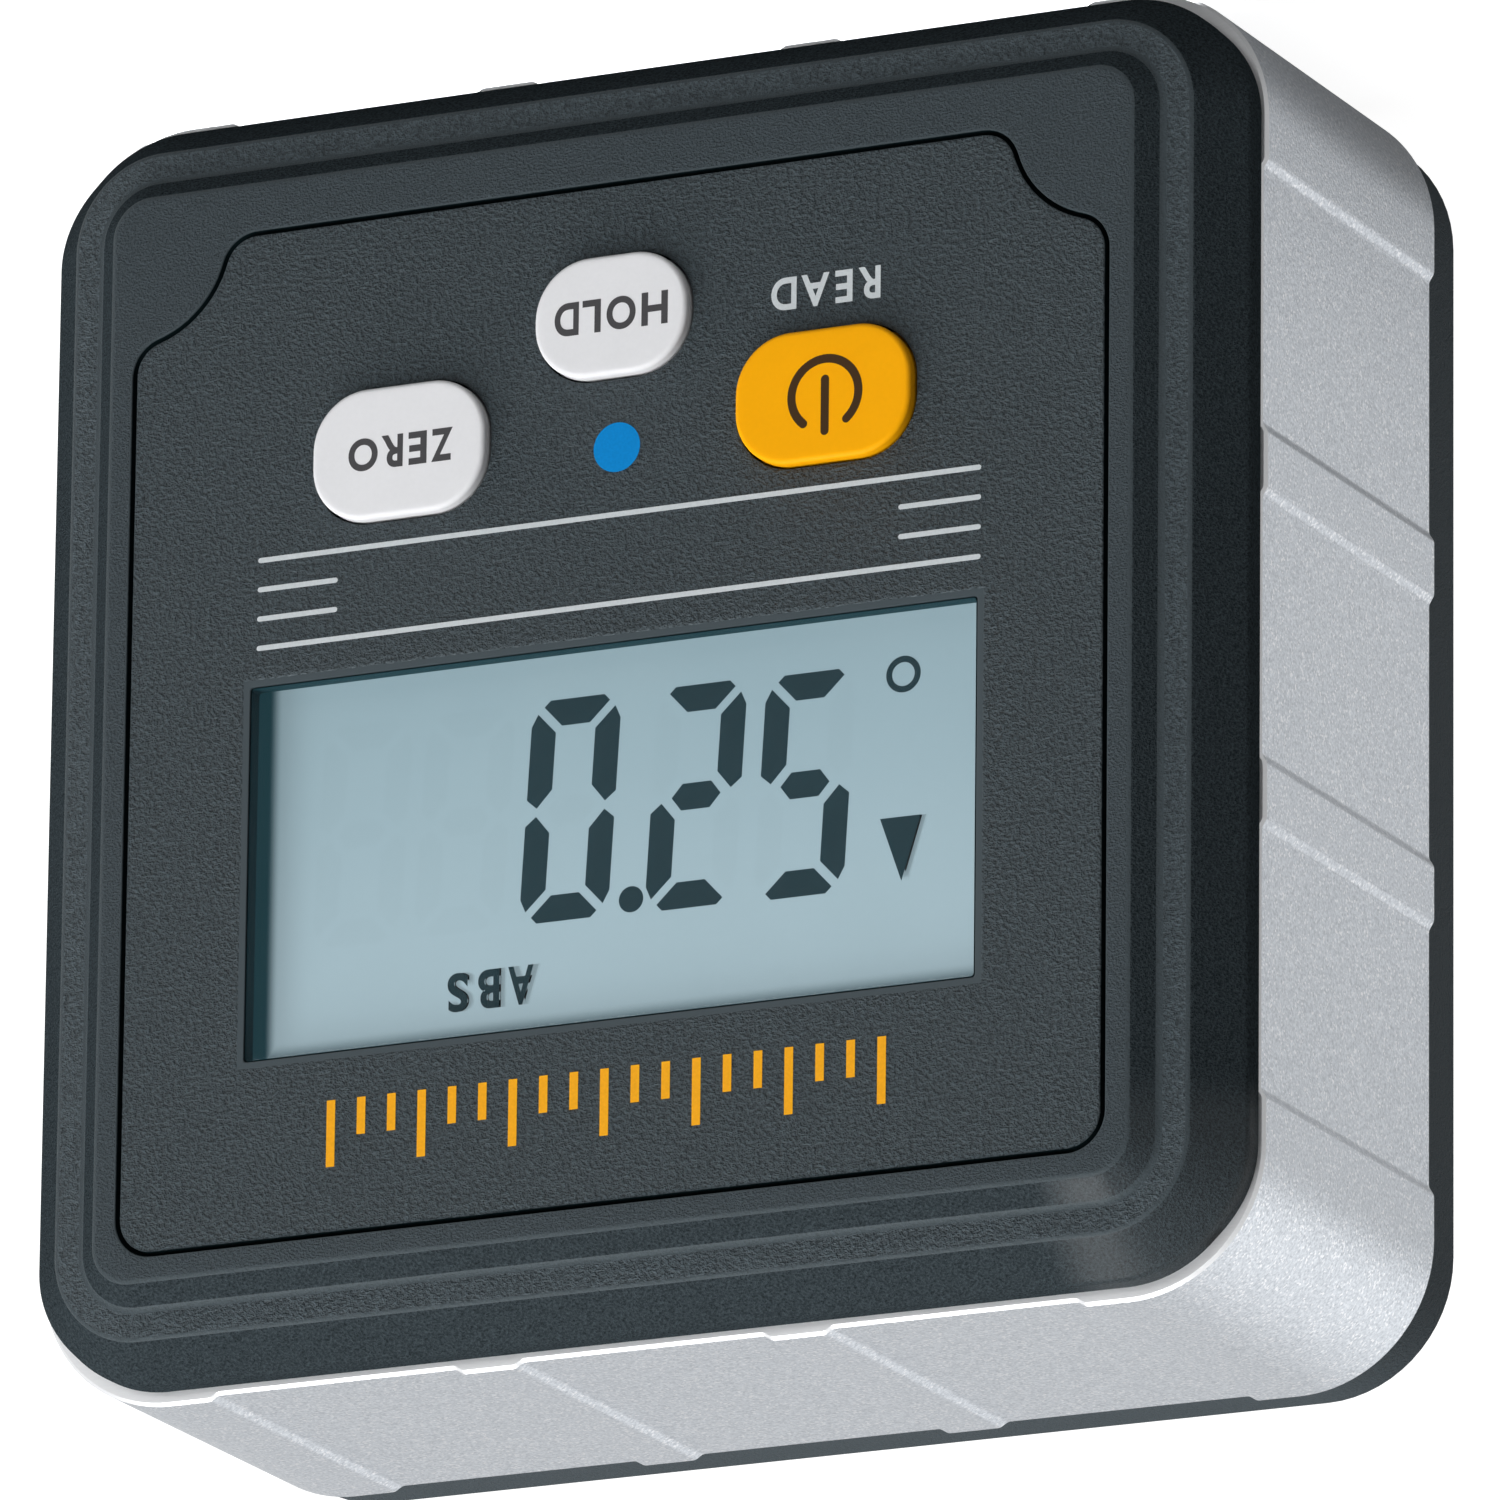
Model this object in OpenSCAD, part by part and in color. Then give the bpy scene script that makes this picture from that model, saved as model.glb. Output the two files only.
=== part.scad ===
// Digital angle gauge: an extruded square frame closed by a stepped front cover and a rear cover.
// Pieces are drawn in plan as seen from the front, with heights counted from the frame's front end
// towards the viewer. upright() then stands each piece on its base, with the face towards -Y.

/* [Frame] */
// Width and height across the outer pads
frame_w = 60; // [58:0.5:72]
// Depth of the extruded frame
frame_depth = 18.5; // [18:0.5:26]
// Outer corner radius
frame_corner_r = 6.5; // [6:0.1:7]
// Wall thickness at the pads
frame_wall = 2.6; // [2.2:0.1:3]
// Width of each sunk flat between the raised ribs
flat_w = 12.3; // [11:0.1:13]
// Width of each raised rib
rib_w = 2.85; // [2:0.05:4]
// How far the flats are sunk below the ribs
flat_sink = 0.25; // [0.1:0.05:0.5]
// Width of the sloped flank beside a rib
flank_w = 0.4; // [0.1:0.05:0.8]

/* [Base magnets] */
// Side of each square magnet
magnet_w = 10; // [6:0.5:11]
// Thickness of each magnet
magnet_t = 1.4; // [0.8:0.1:1.6]
// Glue gap round each magnet
magnet_gap = 0.05; // [0.02:0.01:0.1]

/* [Front cover] */
// How far the cover's side stands inside the frame's pads
cover_inset = 0.63; // [0.4:0.01:1]
// Height of the straight side below the first bevel
cover_side_h = 1; // [0.6:0.1:2]
// Sideways run of the first bevel
bevel_run = 1.64; // [1:0.02:2]
// Height of the first bevel
bevel_h = 2.14; // [1.6:0.02:3]
// Width of the flat ledge between the bevels
ledge_w = 1.31; // [0.8:0.01:1.6]
// Sideways run of the second bevel
step_run = 1.11; // [0.6:0.01:1.4]
// Height of the second bevel
step_h = 1; // [0.6:0.1:1.4]
// Thickness of the cover's moulded walls
cover_wall = 1.2; // [0.8:0.1:1.5]
// Depth of the locating lips inside the frame
lip_l = 2; // [1:0.1:3]
// Thickness of the locating lips
lip_t = 1.2; // [0.8:0.1:1.4]
// Clearance between the lips and the frame
lip_gap = 0.15; // [0.05:0.05:0.3]
// Thickness of the shelf behind the face panel
shelf_t = 0.8; // [0.6:0.1:1.2]

/* [Face panel] */
// Thickness of the face panel
panel_t = 0.8; // [0.5:0.1:1]
// Margin between the panel and the cover's upper edge and sides
panel_margin = 1.31; // [1:0.01:2]
// Extra margin below the panel
panel_raise = 1.15; // [0.5:0.05:2]
// Radius of the panel's upper corners
panel_corner_r = 1.6; // [0.5:0.1:3]
// Radius of the hollow notch at each lower corner
notch_r = 4.95; // [4:0.05:6]
// How far outside the panel's corner each notch is centred
notch_out = 0.28; // [0.1:0.02:0.5]
// Radius where a notch runs into the panel's edges
notch_round = 1.55; // [0.5:0.05:2]
// Groove round the panel
panel_gap = 0.22; // [0.1:0.02:0.4]

/* [Display] */
// Width of the display opening in the panel
window_w = 35.86; // [34:0.02:37]
// Height of the display opening in the panel
window_h = 17.36; // [16:0.02:18]
// Height of the opening's centre above the middle of the face
window_y = 7.1; // [6.5:0.1:7.5]
// How far the lens's flange reaches behind the panel
lens_lap = 1.2; // [1:0.1:1.5]
// Clearance round the lens
lens_gap = 0.05; // [0.02:0.01:0.1]
// Thickness of the foam gasket in front of the display
gasket_t = 0.8; // [0.4:0.05:1]
// How far the gasket's opening stands back from the panel's
gasket_back = 0.8; // [0.4:0.1:0.9]
// How far the display glass reaches past the opening
lcd_margin = 2; // [1.8:0.1:2.2]
// Thickness of each of the two display glasses
glass_t = 1.1; // [0.7:0.1:1.2]
// Width of the contact ledge along the front glass
contact_ledge_w = 1.8; // [1.5:0.1:2]
// Thickness of the light guide behind the glass
backlight_t = 1.6; // [1.2:0.1:2]
// Wall of the holder round the display
holder_t = 0.8; // [0.6:0.1:1]
// Clearance between the glass and its holder
holder_gap = 0.15; // [0.1:0.05:0.2]
// Clearance beside the contact strip
zebra_gap = 0.2; // [0.1:0.05:0.4]

/* [Keys] */
// Width of the power and zero keys
key_w = 8.7; // [7:0.1:9]
// Height of the power and zero keys
key_h = 6.2; // [6:0.1:6.6]
// Width of the hold key
hold_w = 7.64; // [6.4:0.02:8]
// Height of the hold key
hold_h = 5.7; // [5.6:0.1:6]
// Radius of the keys' corners in plan
key_corner_r = 2.7; // [1.5:0.1:2.75]
// Distance of the power and zero keys from the middle
key_x = 10.5; // [10:0.1:11]
// Height of the power and zero keys below the middle of the face
key_drop = 11.7; // [11.4:0.1:12]
// Height of the hold key below the middle of the face
hold_drop = 16.7; // [16.2:0.1:17]
// How far the keys stand above the panel
key_rise = 0.5; // [0.3:0.1:1]
// Rounding of the keys' upper edge
key_round = 0.4; // [0.2:0.05:0.6]
// Gap round each key
key_gap = 0.15; // [0.1:0.05:0.25]
// Width of the flange that keeps a key behind the shelf
flange_w = 0.8; // [0.5:0.1:0.9]
// Thickness of that flange
flange_t = 0.9; // [0.6:0.1:1]
// Play between the flange and the shelf
key_play = 0.1; // [0.05:0.05:0.2]
// Side of a key switch's square body
switch_w = 4.5; // [4:0.1:5]
// Height of a key switch's body
switch_h = 1.6; // [1.4:0.1:1.8]
// Radius of a switch plunger
plunger_r = 1; // [0.8:0.1:1.3]
// How far a plunger stands out of its switch
plunger_h = 0.6; // [0.5:0.1:0.8]
// How far a plunger reaches into its switch
plunger_sink = 0.4; // [0.3:0.05:0.5]
// Clearance round and below a plunger
plunger_gap = 0.1; // [0.05:0.01:0.15]
// Travel of the keys
key_travel = 0.3; // [0.2:0.05:0.35]

/* [Circuit board] */
// Thickness of the board
board_t = 1.6; // [1.2:0.1:2]
// Clearance between the board and the front cover
board_gap = 0.6; // [0.4:0.1:1]
// Distance of the upper board screws from the middle
upper_screw_x = 12; // [8:0.5:16]
// Distance of the lower board screws from the middle
lower_screw_x = 20; // [19:0.5:21]
// Height of the lower board screws below the middle of the face
lower_screw_drop = 12; // [10:0.5:15]
// Radius of the board screws
board_screw_r = 1; // [0.8:0.1:1.2]
// Length of board screw inside its boss
board_screw_bite = 2.6; // [2:0.1:3]
// Radius of the board screws' heads
board_head_r = 1.8; // [1.6:0.1:2.2]
// Height of the board screws' heads
board_head_h = 1.2; // [0.8:0.1:1.6]
// Radius of the bosses under the board screws
board_boss_r = 1.9; // [1.7:0.1:2.2]
// Side of the controller chip
controller_w = 9; // [7:0.5:12]
// Height of the controller chip
controller_h = 1.2; // [0.8:0.1:1.6]
// Side of the tilt sensor
sensor_w = 5; // [3:0.5:6]
// Height of the tilt sensor
sensor_h = 1.3; // [0.8:0.1:1.8]
// Width of the radio module
radio_w = 11; // [8:0.5:12]
// Length of the radio module
radio_l = 15; // [12:0.5:16]
// Height of the radio module
radio_h = 2; // [1.6:0.1:2.4]
// Length of the crystal's can
crystal_l = 5; // [3:0.5:6]
// Width of the crystal's can
crystal_w = 3.2; // [2:0.1:4]
// Height of the crystal's can
crystal_h = 1; // [0.7:0.1:1.4]
// Length of a chip resistor or capacitor
chip_l = 1.6; // [1:0.1:2]
// Width and height of a chip resistor or capacitor
chip_w = 0.8; // [0.5:0.1:1]
// Distance from one chip part to the next
chip_pitch = 2.6; // [2.4:0.1:3]
// How many chip parts stand in each row
chip_count = 4; // [1:1:4]

/* [Rear cover] */
// How far the rear cover stands inside the frame's pads
rear_inset = 0.4; // [0.2:0.05:0.8]
// Height of the rear cover's straight side
rear_side_h = 3; // [2:0.1:4]
// Sideways run of the rear bevel
rear_bevel_run = 1.3; // [0.8:0.1:2]
// Height of the rear bevel
rear_bevel_h = 1.3; // [0.8:0.1:1.5]
// Thickness of the rear cover's back
rear_wall = 2.4; // [2.2:0.1:3]

/* [Battery bay] */
// Diameter of a cell
cell_d = 10.5; // [10:0.1:10.6]
// Length of a cell with its tip
cell_l = 44.5; // [43:0.1:45]
// Diameter of a cell's tip
tip_d = 3.8; // [3:0.1:4]
// Height of a cell's tip
tip_h = 0.8; // [0.6:0.1:1]
// Gap between the two cells
cell_gap = 0.6; // [0.3:0.1:1]
// Play between the cells and the bay
cell_play = 0.3; // [0.2:0.05:0.5]
// Thickness of the bay's walls
bay_wall = 1.2; // [0.8:0.1:1.3]
// Thickness of the contact plates
contact_t = 0.4; // [0.3:0.05:0.5]
// Width of a contact plate behind one cell
contact_w = 9; // [6:0.5:9.5]
// Height of the contact plates
contact_h = 8.4; // [6:0.2:9]
// Width of the tails that run to the board
tail_w = 2; // [1:0.1:3]
// Clearance round the tails
tail_gap = 0.2; // [0.1:0.05:0.3]
// Length of a contact spring under load
spring_l = 4; // [3:0.1:4.2]
// Coil radius at a spring's foot
spring_foot_r = 3.4; // [3:0.1:4]
// Coil radius at a spring's tip
spring_tip_r = 2; // [1.5:0.1:2.6]
// Radius of the spring wire
spring_wire_r = 0.3; // [0.2:0.05:0.4]
// Turns of a spring
spring_turns = 3; // [2:0.5:4]

/* [Battery door] */
// Thickness of the door's outer skin
door_skin = 0.8; // [0.6:0.1:1]
// Thickness of the sliding tongues
tongue_t = 0.8; // [0.6:0.1:0.9]
// Width of the sliding tongues
tongue_w = 1; // [0.6:0.1:1.4]
// Running clearance of the door
slide_gap = 0.15; // [0.1:0.05:0.2]
// How far the door reaches past the bay
door_lap = 0.8; // [0.5:0.1:1.2]
// How many thumb grooves the door has
grip_count = 5; // [2:1:7]
// Width of a thumb groove
grip_w = 1; // [0.6:0.1:1.4]
// Distance from one thumb groove to the next
grip_pitch = 2; // [1.6:0.1:3]
// Length of a thumb groove
grip_l = 14; // [8:1:20]
// Depth of a thumb groove
grip_depth = 0.3; // [0.1:0.05:0.5]

/* [Case screws] */
// Radius of the case screws
screw_r = 1.25; // [1:0.05:1.5]
// Radius of the case screws' heads
head_r = 2.2; // [1.9:0.1:2.5]
// Height of the case screws' heads
head_h = 1.5; // [1:0.1:2]
// How far the heads lie below the rear cover's back
head_sink = 0.3; // [0.1:0.1:0.6]
// Length of case screw inside the front bosses
screw_bite = 8; // [5:0.5:9]
// Clearance round the screws and their heads
screw_gap = 0.2; // [0.1:0.05:0.3]
// Gap between a screw's thread and its boss
thread_gap = 0.03; // [0.02:0.01:0.1]
// Radius of the posts round the case screws
post_r = 2.8; // [2.7:0.1:3]
// Gap between the front and rear posts, so that the covers clamp the frame
post_gap = 0.2; // [0.1:0.05:0.4]
// Width of the cross slots in the screw heads
slot_w = 0.6; // [0.4:0.05:0.7]
// Length of the cross slots, as a share of the head's radius
slot_share = 1.3; // [0.8:0.1:1.5]
// Depth of the cross slots
slot_depth = 0.7; // [0.4:0.1:0.9]

/* [Hidden] */
$fn = 64;

// How far a cut runs past the face that it opens
over = 0.2;
// Smallest corner radius of an outline
corner_r_min = 0.2;
// Angle from one point of a drawn arc to the next
arc_step = 15;
// Sides of the spring wire, and rings in one turn of a spring
wire_sides = 8;
turn_rings = 16;
// Gap that keeps a coil clear of the faces at its ends
spring_gap = 0.02;

// Frame, in half widths from the middle of the face
frame_half = frame_w / 2;
frame_in = frame_half - frame_wall;
corner_c = frame_half - frame_corner_r;
flat_pitch = flat_w + rib_w;

// Front cover, from the frame outwards and upwards
cover_half = frame_half - cover_inset;
ledge_half = cover_half - bevel_run;
step_half = ledge_half - ledge_w;
top_half = step_half - step_run;
ledge_z = cover_side_h + bevel_h;
top_z = ledge_z + step_h;
pocket_z = top_z - panel_t;
shelf_z = pocket_z - shelf_t;
lip_half = frame_in - lip_gap;
lip_in = lip_half - lip_t;
well_half = top_half - cover_wall;
cover_profile = [
    [0, 0], [cover_half - corner_c, 0], [cover_half - corner_c, cover_side_h],
    [ledge_half - corner_c, ledge_z], [step_half - corner_c, ledge_z],
    [top_half - corner_c, top_z], [0, top_z]
];

// Face panel
panel_half = top_half - panel_margin;
panel_low = panel_half - panel_raise;

// Display, from the shelf back to the board
lcd_w = window_w + 2 * lcd_margin;
lcd_h = window_h + 2 * lcd_margin;
front_glass_h = lcd_h + contact_ledge_w;
front_glass_y = window_y + contact_ledge_w / 2;
holder_top = front_glass_y + front_glass_h / 2 + holder_gap + holder_t;
lcd_front_z = shelf_z - gasket_t;
lcd_mid_z = lcd_front_z - glass_t;
lcd_back_z = lcd_mid_z - glass_t;
board_z = lcd_back_z - backlight_t;
board_back_z = board_z - board_t;

// Keys and their switches
power_at = [-key_x, -key_drop];
zero_at = [key_x, -key_drop];
hold_at = [0, -hold_drop];
key_top_z = top_z + key_rise;
flange_z = shelf_z - key_play;
switch_z = board_z + switch_h;
plunger_z = switch_z + plunger_h;
plunger_low_z = switch_z - plunger_sink;
plunger_well_z = plunger_low_z - key_travel - plunger_gap;

// Board
board_half = lip_in - board_gap;
board_notch = corner_c - post_r - board_gap;
upper_screw_y = holder_top + screw_gap + board_boss_r;
board_screws_at = [
    [-upper_screw_x, upper_screw_y], [upper_screw_x, upper_screw_y],
    [-lower_screw_x, -lower_screw_drop], [lower_screw_x, -lower_screw_drop]
];
controller_at = [-3, 2];
sensor_at = [9, -1];
crystal_at = [-3, 11];
radio_at = [-6, -14];
chip_rows_at = [[5, 9], [5, -10]];

// Rear cover and battery bay
rear_half = frame_half - rear_inset;
rear_side_z = -frame_depth - rear_side_h;
back_z = rear_side_z - rear_bevel_h;
plate_z = back_z + rear_wall;
door_inner_z = back_z + door_skin + tongue_t;
cell_z = door_inner_z + cell_play + cell_d / 2;
bay_floor_z = cell_z + cell_d / 2 + cell_play;
tub_z = bay_floor_z + bay_wall;
cell_y = (cell_d + cell_gap) / 2;
bay_half_w = cell_d + cell_gap / 2 + cell_play;
bay_half_l = (cell_l + spring_l) / 2 + contact_t;
spring_seat = bay_half_l - contact_t;
door_half_w = bay_half_w + door_lap;
door_end = bay_half_l + door_lap;
rear_profile = [
    [0, back_z], [rear_half - rear_bevel_run - corner_c, back_z],
    [rear_half - corner_c, rear_side_z], [rear_half - corner_c, -frame_depth], [0, -frame_depth]
];

// Case screws
split_z = -frame_depth / 2;
screw_seat_z = back_z + head_sink + head_h;
screw_tip_z = split_z + screw_bite;
corners = [[-corner_c, -corner_c], [corner_c, -corner_c], [-corner_c, corner_c], [corner_c, corner_c]];

// Middle of the whole depth, which stands over the origin
mid_z = (key_top_z + back_z) / 2;

plastic = [0.25, 0.27, 0.29];
panel_grey = [0.29, 0.31, 0.33];
metal = [0.78, 0.79, 0.81];
steel = [0.62, 0.63, 0.65];
white = [0.88, 0.88, 0.9];
orange = [1, 0.64, 0.05];
black = [0.1, 0.1, 0.11];

// Turns the plan view upright and puts the middle of the base at the origin
module upright() {
    translate([0, mid_z, frame_half]) rotate([90, 0, 0]) children();
}

// Extrudes a plan outline between two heights
module layer(low, high) {
    translate([0, 0, low]) linear_extrude(high - low) children();
}

function corner_at(half) = max(half - corner_c, corner_r_min);

function arc(centre, r, from, to) = [
    for (i = [0 : ceil(abs(to - from) / arc_step)])
        let (a = from + (to - from) * i / ceil(abs(to - from) / arc_step))
            centre + r * [cos(a), sin(a)]
];

module rounded_rect(w, h, r) {
    square([w, h - 2 * r], center = true);
    square([w - 2 * r, h], center = true);
    for (x = [-1, 1], y = [-1, 1]) translate([x * (w / 2 - r), y * (h / 2 - r)]) circle(r);
}

module rounded_square(half) {
    rounded_rect(2 * half, 2 * half, corner_at(half));
}

// Block whose rim follows one profile of [distance past the corner centres, height] points
module swept_block(half_x, half_y, profile) {
    low = profile[0][1];
    high = profile[len(profile) - 1][1];
    layer(low, high) square([2 * half_x, 2 * half_y], center = true);
    for (turn = [0 : 3]) {
        reach = turn % 2 == 0 ? half_x : half_y;
        side = turn % 2 == 0 ? half_y : half_x;
        rotate(90 * turn) translate([reach, side, 0]) {
            rotate_extrude(angle = 90) polygon(profile);
            rotate([90, 0, 0]) linear_extrude(2 * side) polygon(profile);
        }
    }
}

// The frame's outline, with sunk flats between raised ribs on each side
module frame_outline() {
    difference() {
        rounded_square(frame_half);
        for (turn = [0 : 3], i = [-1 : 1]) rotate(90 * turn) translate([i * flat_pitch, frame_half])
            polygon([
                [-flat_w / 2, over], [-flat_w / 2, 0], [flank_w - flat_w / 2, -flat_sink],
                [flat_w / 2 - flank_w, -flat_sink], [flat_w / 2, 0], [flat_w / 2, over]
            ]);
    }
}

// The face panel's outline, grown by a margin: round upper corners and hollow lower ones
module panel_outline(grow) {
    half = panel_half + grow;
    low = panel_low + grow;
    top_r = panel_corner_r + grow;
    foot_r = notch_round + grow;
    hollow = [panel_half + notch_out, -panel_low - notch_out];
    reach = sqrt(pow(notch_r + notch_round, 2) - pow(notch_round + notch_out, 2));
    foot = [hollow[0] - reach, foot_r - low];
    shoulder = [half - foot_r, hollow[1] + reach];
    lean = atan2(hollow[1] - foot[1], hollow[0] - foot[0]);
    right = concat(
        arc(foot, foot_r, -90, lean),
        arc(hollow, notch_r - grow, 180 + lean, 90 - lean),
        arc(shoulder, foot_r, -90 - lean, 0),
        arc([half - top_r, half - top_r], top_r, 0, 90)
    );
    left = [for (i = [len(right) - 1 : -1 : 0]) [-right[i][0], right[i][1]]];
    polygon(concat(right, left));
}

module window_outline(grow) {
    translate([0, window_y]) square([window_w + 2 * grow, window_h + 2 * grow], center = true);
}

module glass_outline(grow) {
    translate([0, front_glass_y]) square([lcd_w + 2 * grow, front_glass_h + 2 * grow], center = true);
}

module key_outline(w, h, grow) {
    rounded_rect(w + 2 * grow, h + 2 * grow, key_corner_r + grow);
}

module key_outlines(grow) {
    translate(power_at) key_outline(key_w, key_h, grow);
    translate(zero_at) key_outline(key_w, key_h, grow);
    translate(hold_at) key_outline(hold_w, hold_h, grow);
}

// Cap with a rounded upper edge, a flange behind the shelf and a stem that meets the plunger
module key(at, w, h) {
    crown = arc([key_corner_r - key_round, key_top_z - key_round], key_round, 0, 90);
    profile = concat([[0, flange_z], [key_corner_r, flange_z]], crown, [[0, key_top_z]]);
    translate(at) {
        swept_block(w / 2 - key_corner_r, h / 2 - key_corner_r, profile);
        layer(flange_z - flange_t, flange_z) key_outline(w, h, flange_w);
        layer(plunger_z, flange_z - flange_t) circle(plunger_r);
    }
}

module plunger(at) {
    translate(at) layer(plunger_low_z, plunger_z) circle(plunger_r);
}

// A block on the back of the board
module board_part(at, w, l, h) {
    translate(at) layer(board_back_z - h, board_back_z) square([w, l], center = true);
}

// Rear cover's outer form, which the door continues
module rear_form() {
    swept_block(corner_c, corner_c, rear_profile);
}

// The door's section: a skin and a wider tongue under it, out to the +X edge and a run beyond
module door_slab(gap, run) {
    length = door_end + gap + rear_half + run;
    middle = (rear_half + run - door_end - gap) / 2;
    translate([middle, 0]) {
        layer(back_z - run, door_inner_z + gap)
            square([length, 2 * (door_half_w + gap)], center = true);
        layer(back_z + door_skin - gap, door_inner_z + gap)
            square([length, 2 * (door_half_w + tongue_w + gap)], center = true);
    }
}

// One cell along +X, with its tip at the far end
module cell() {
    body_l = cell_l - tip_h;
    translate([-spring_seat + spring_l, 0, 0]) rotate([0, 90, 0]) {
        cylinder(d = cell_d, h = body_l);
        translate([0, 0, body_l]) cylinder(d = tip_d, h = tip_h);
    }
}

// Tapered coil of round wire, standing on z = 0
module coil() {
    rings = spring_turns * turn_rings;
    foot_z = spring_wire_r + spring_gap;
    rise = spring_l - 2 * foot_z;
    points = [
        for (i = [0 : rings], k = [0 : wire_sides - 1])
            let (
                a = 360 * i / turn_rings,
                b = 360 * k / wire_sides,
                r = spring_foot_r + (spring_tip_r - spring_foot_r) * i / rings + spring_wire_r * cos(b)
            )
                [r * cos(a), r * sin(a), foot_z + rise * i / rings + spring_wire_r * sin(b)]
    ];
    walls = [
        for (i = [0 : rings - 1], k = [0 : wire_sides - 1])
            let (n = (k + 1) % wire_sides)
                [i * wire_sides + k, (i + 1) * wire_sides + k, (i + 1) * wire_sides + n, i * wire_sides + n]
    ];
    start = [for (k = [0 : wire_sides - 1]) k];
    end = [for (k = [wire_sides - 1 : -1 : 0]) rings * wire_sides + k];
    polyhedron(points, concat([start, end], walls), convexity = 8);
}

// A screw pointing to +Z from the plane under its head, with a cross slot
module screw(r, length, cap_r, cap_h) {
    cylinder(r = r, h = length);
    difference() {
        translate([0, 0, -cap_h]) cylinder(r = cap_r, h = cap_h);
        for (turn = [0, 90]) rotate(turn) translate([0, 0, -cap_h])
            cube([slot_share * cap_r, slot_w, 2 * slot_depth], center = true);
    }
}

module frame() {
    color(metal) upright() difference() {
        layer(-frame_depth, 0) difference() {
            frame_outline();
            rounded_square(frame_in);
        }
        for (i = [-1 : 1]) magnet(i, magnet_gap, over);
    }
}

// A magnet behind one flat of the base, grown by a gap and lengthened into the frame for its pocket
module magnet(place, gap, run) {
    side = magnet_w + 2 * gap;
    translate([place * flat_pitch, (run - gap - magnet_t) / 2 - frame_in, -frame_depth / 2])
        cube([side, magnet_t + gap + run, side], center = true);
}

module base_magnets() {
    color(steel) upright() for (i = [-1 : 1]) magnet(i, 0, 0);
}

module front_cover() {
    color(plastic) upright() difference() {
        union() {
            difference() {
                union() {
                    swept_block(corner_c, corner_c, cover_profile);
                    layer(-lip_l, 0) rounded_square(lip_half);
                }
                layer(-lip_l - over, ledge_z - cover_wall) rounded_square(lip_in);
                layer(0, shelf_z) rounded_square(well_half);
            }
            for (at = corners) translate(at) layer(split_z + post_gap / 2, shelf_z) circle(post_r);
            for (at = board_screws_at) translate(at) layer(board_z, shelf_z) circle(board_boss_r);
        }
        layer(pocket_z, top_z + over) panel_outline(panel_gap);
        layer(shelf_z - over, pocket_z + over) {
            window_outline(lens_lap + lens_gap);
            key_outlines(key_gap);
        }
        for (at = corners) translate(at)
            layer(split_z, screw_tip_z + screw_gap) circle(screw_r + thread_gap);
        for (at = board_screws_at) translate(at)
            layer(board_z - over, board_z + board_screw_bite + screw_gap) circle(board_screw_r + thread_gap);
    }
}

module face_panel() {
    color(panel_grey) upright() layer(pocket_z, top_z) difference() {
        panel_outline(0);
        window_outline(0);
        key_outlines(key_gap);
    }
}

// Clear block in the panel's opening, with a flange that the panel keeps in the shelf
module window_lens() {
    color([0.8, 0.9, 0.95, 0.35]) upright() {
        layer(pocket_z, top_z) window_outline(-lens_gap);
        layer(shelf_z, pocket_z) window_outline(lens_lap);
    }
}

module display_gasket() {
    color(black) upright() layer(lcd_front_z, shelf_z) difference() {
        window_outline(lcd_margin);
        window_outline(gasket_back);
    }
}

module lcd_glass() {
    color([0.63, 0.72, 0.76]) upright() {
        layer(lcd_mid_z, lcd_front_z) glass_outline(0);
        layer(lcd_back_z, lcd_mid_z) window_outline(lcd_margin);
    }
}

module lcd_holder() {
    color(black) upright() layer(board_z, lcd_front_z) difference() {
        glass_outline(holder_gap + holder_t);
        glass_outline(holder_gap);
    }
}

module backlight_panel() {
    color(white) upright() layer(board_z, lcd_back_z) window_outline(lcd_margin);
}

module zebra_strip() {
    strip_w = contact_ledge_w - zebra_gap;
    color([0.85, 0.6, 0.65]) upright() layer(board_z, lcd_mid_z)
        translate([0, window_y + lcd_h / 2 + contact_ledge_w - strip_w / 2])
            square([lcd_w, strip_w], center = true);
}

module circuit_board() {
    color([0.05, 0.35, 0.2]) upright() layer(board_back_z, board_z) difference() {
        square(2 * board_half, center = true);
        for (x = [-1, 1], y = [-1, 1]) translate([x * board_half, y * board_half])
            square(2 * (board_half - board_notch), center = true);
        for (at = board_screws_at) translate(at) circle(board_screw_r + screw_gap / 2);
    }
}

module controller_chip() {
    color(black) upright() board_part(controller_at, controller_w, controller_w, controller_h);
}

module tilt_sensor() {
    color([0.16, 0.16, 0.18]) upright() board_part(sensor_at, sensor_w, sensor_w, sensor_h);
}

module radio_module() {
    color(steel) upright() board_part(radio_at, radio_l, radio_w, radio_h);
}

module crystal_can() {
    color(steel) upright() board_part(crystal_at, crystal_l, crystal_w, crystal_h);
}

module chip_parts() {
    color([0.6, 0.5, 0.4]) upright() for (row = chip_rows_at, i = [0 : chip_count - 1])
        board_part(row + [i * chip_pitch, 0], chip_w, chip_l, chip_w);
}

module switch_bodies() {
    color(black) upright() for (at = [power_at, hold_at, zero_at]) translate(at) difference() {
        layer(board_z, switch_z) square(switch_w, center = true);
        layer(plunger_well_z, switch_z + over) circle(plunger_r + plunger_gap);
    }
}

module power_plunger() { color(orange) upright() plunger(power_at); }

module hold_plunger() { color(white) upright() plunger(hold_at); }

module zero_plunger() { color(white) upright() plunger(zero_at); }

module power_button() { color(orange) upright() key(power_at, key_w, key_h); }

module hold_button() { color(white) upright() key(hold_at, hold_w, hold_h); }

module zero_button() { color(white) upright() key(zero_at, key_w, key_h); }

module board_screws() {
    color(steel) upright() for (at = board_screws_at) translate([at[0], at[1], board_back_z])
        screw(board_screw_r, board_t + board_screw_bite, board_head_r, board_head_h);
}

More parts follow.
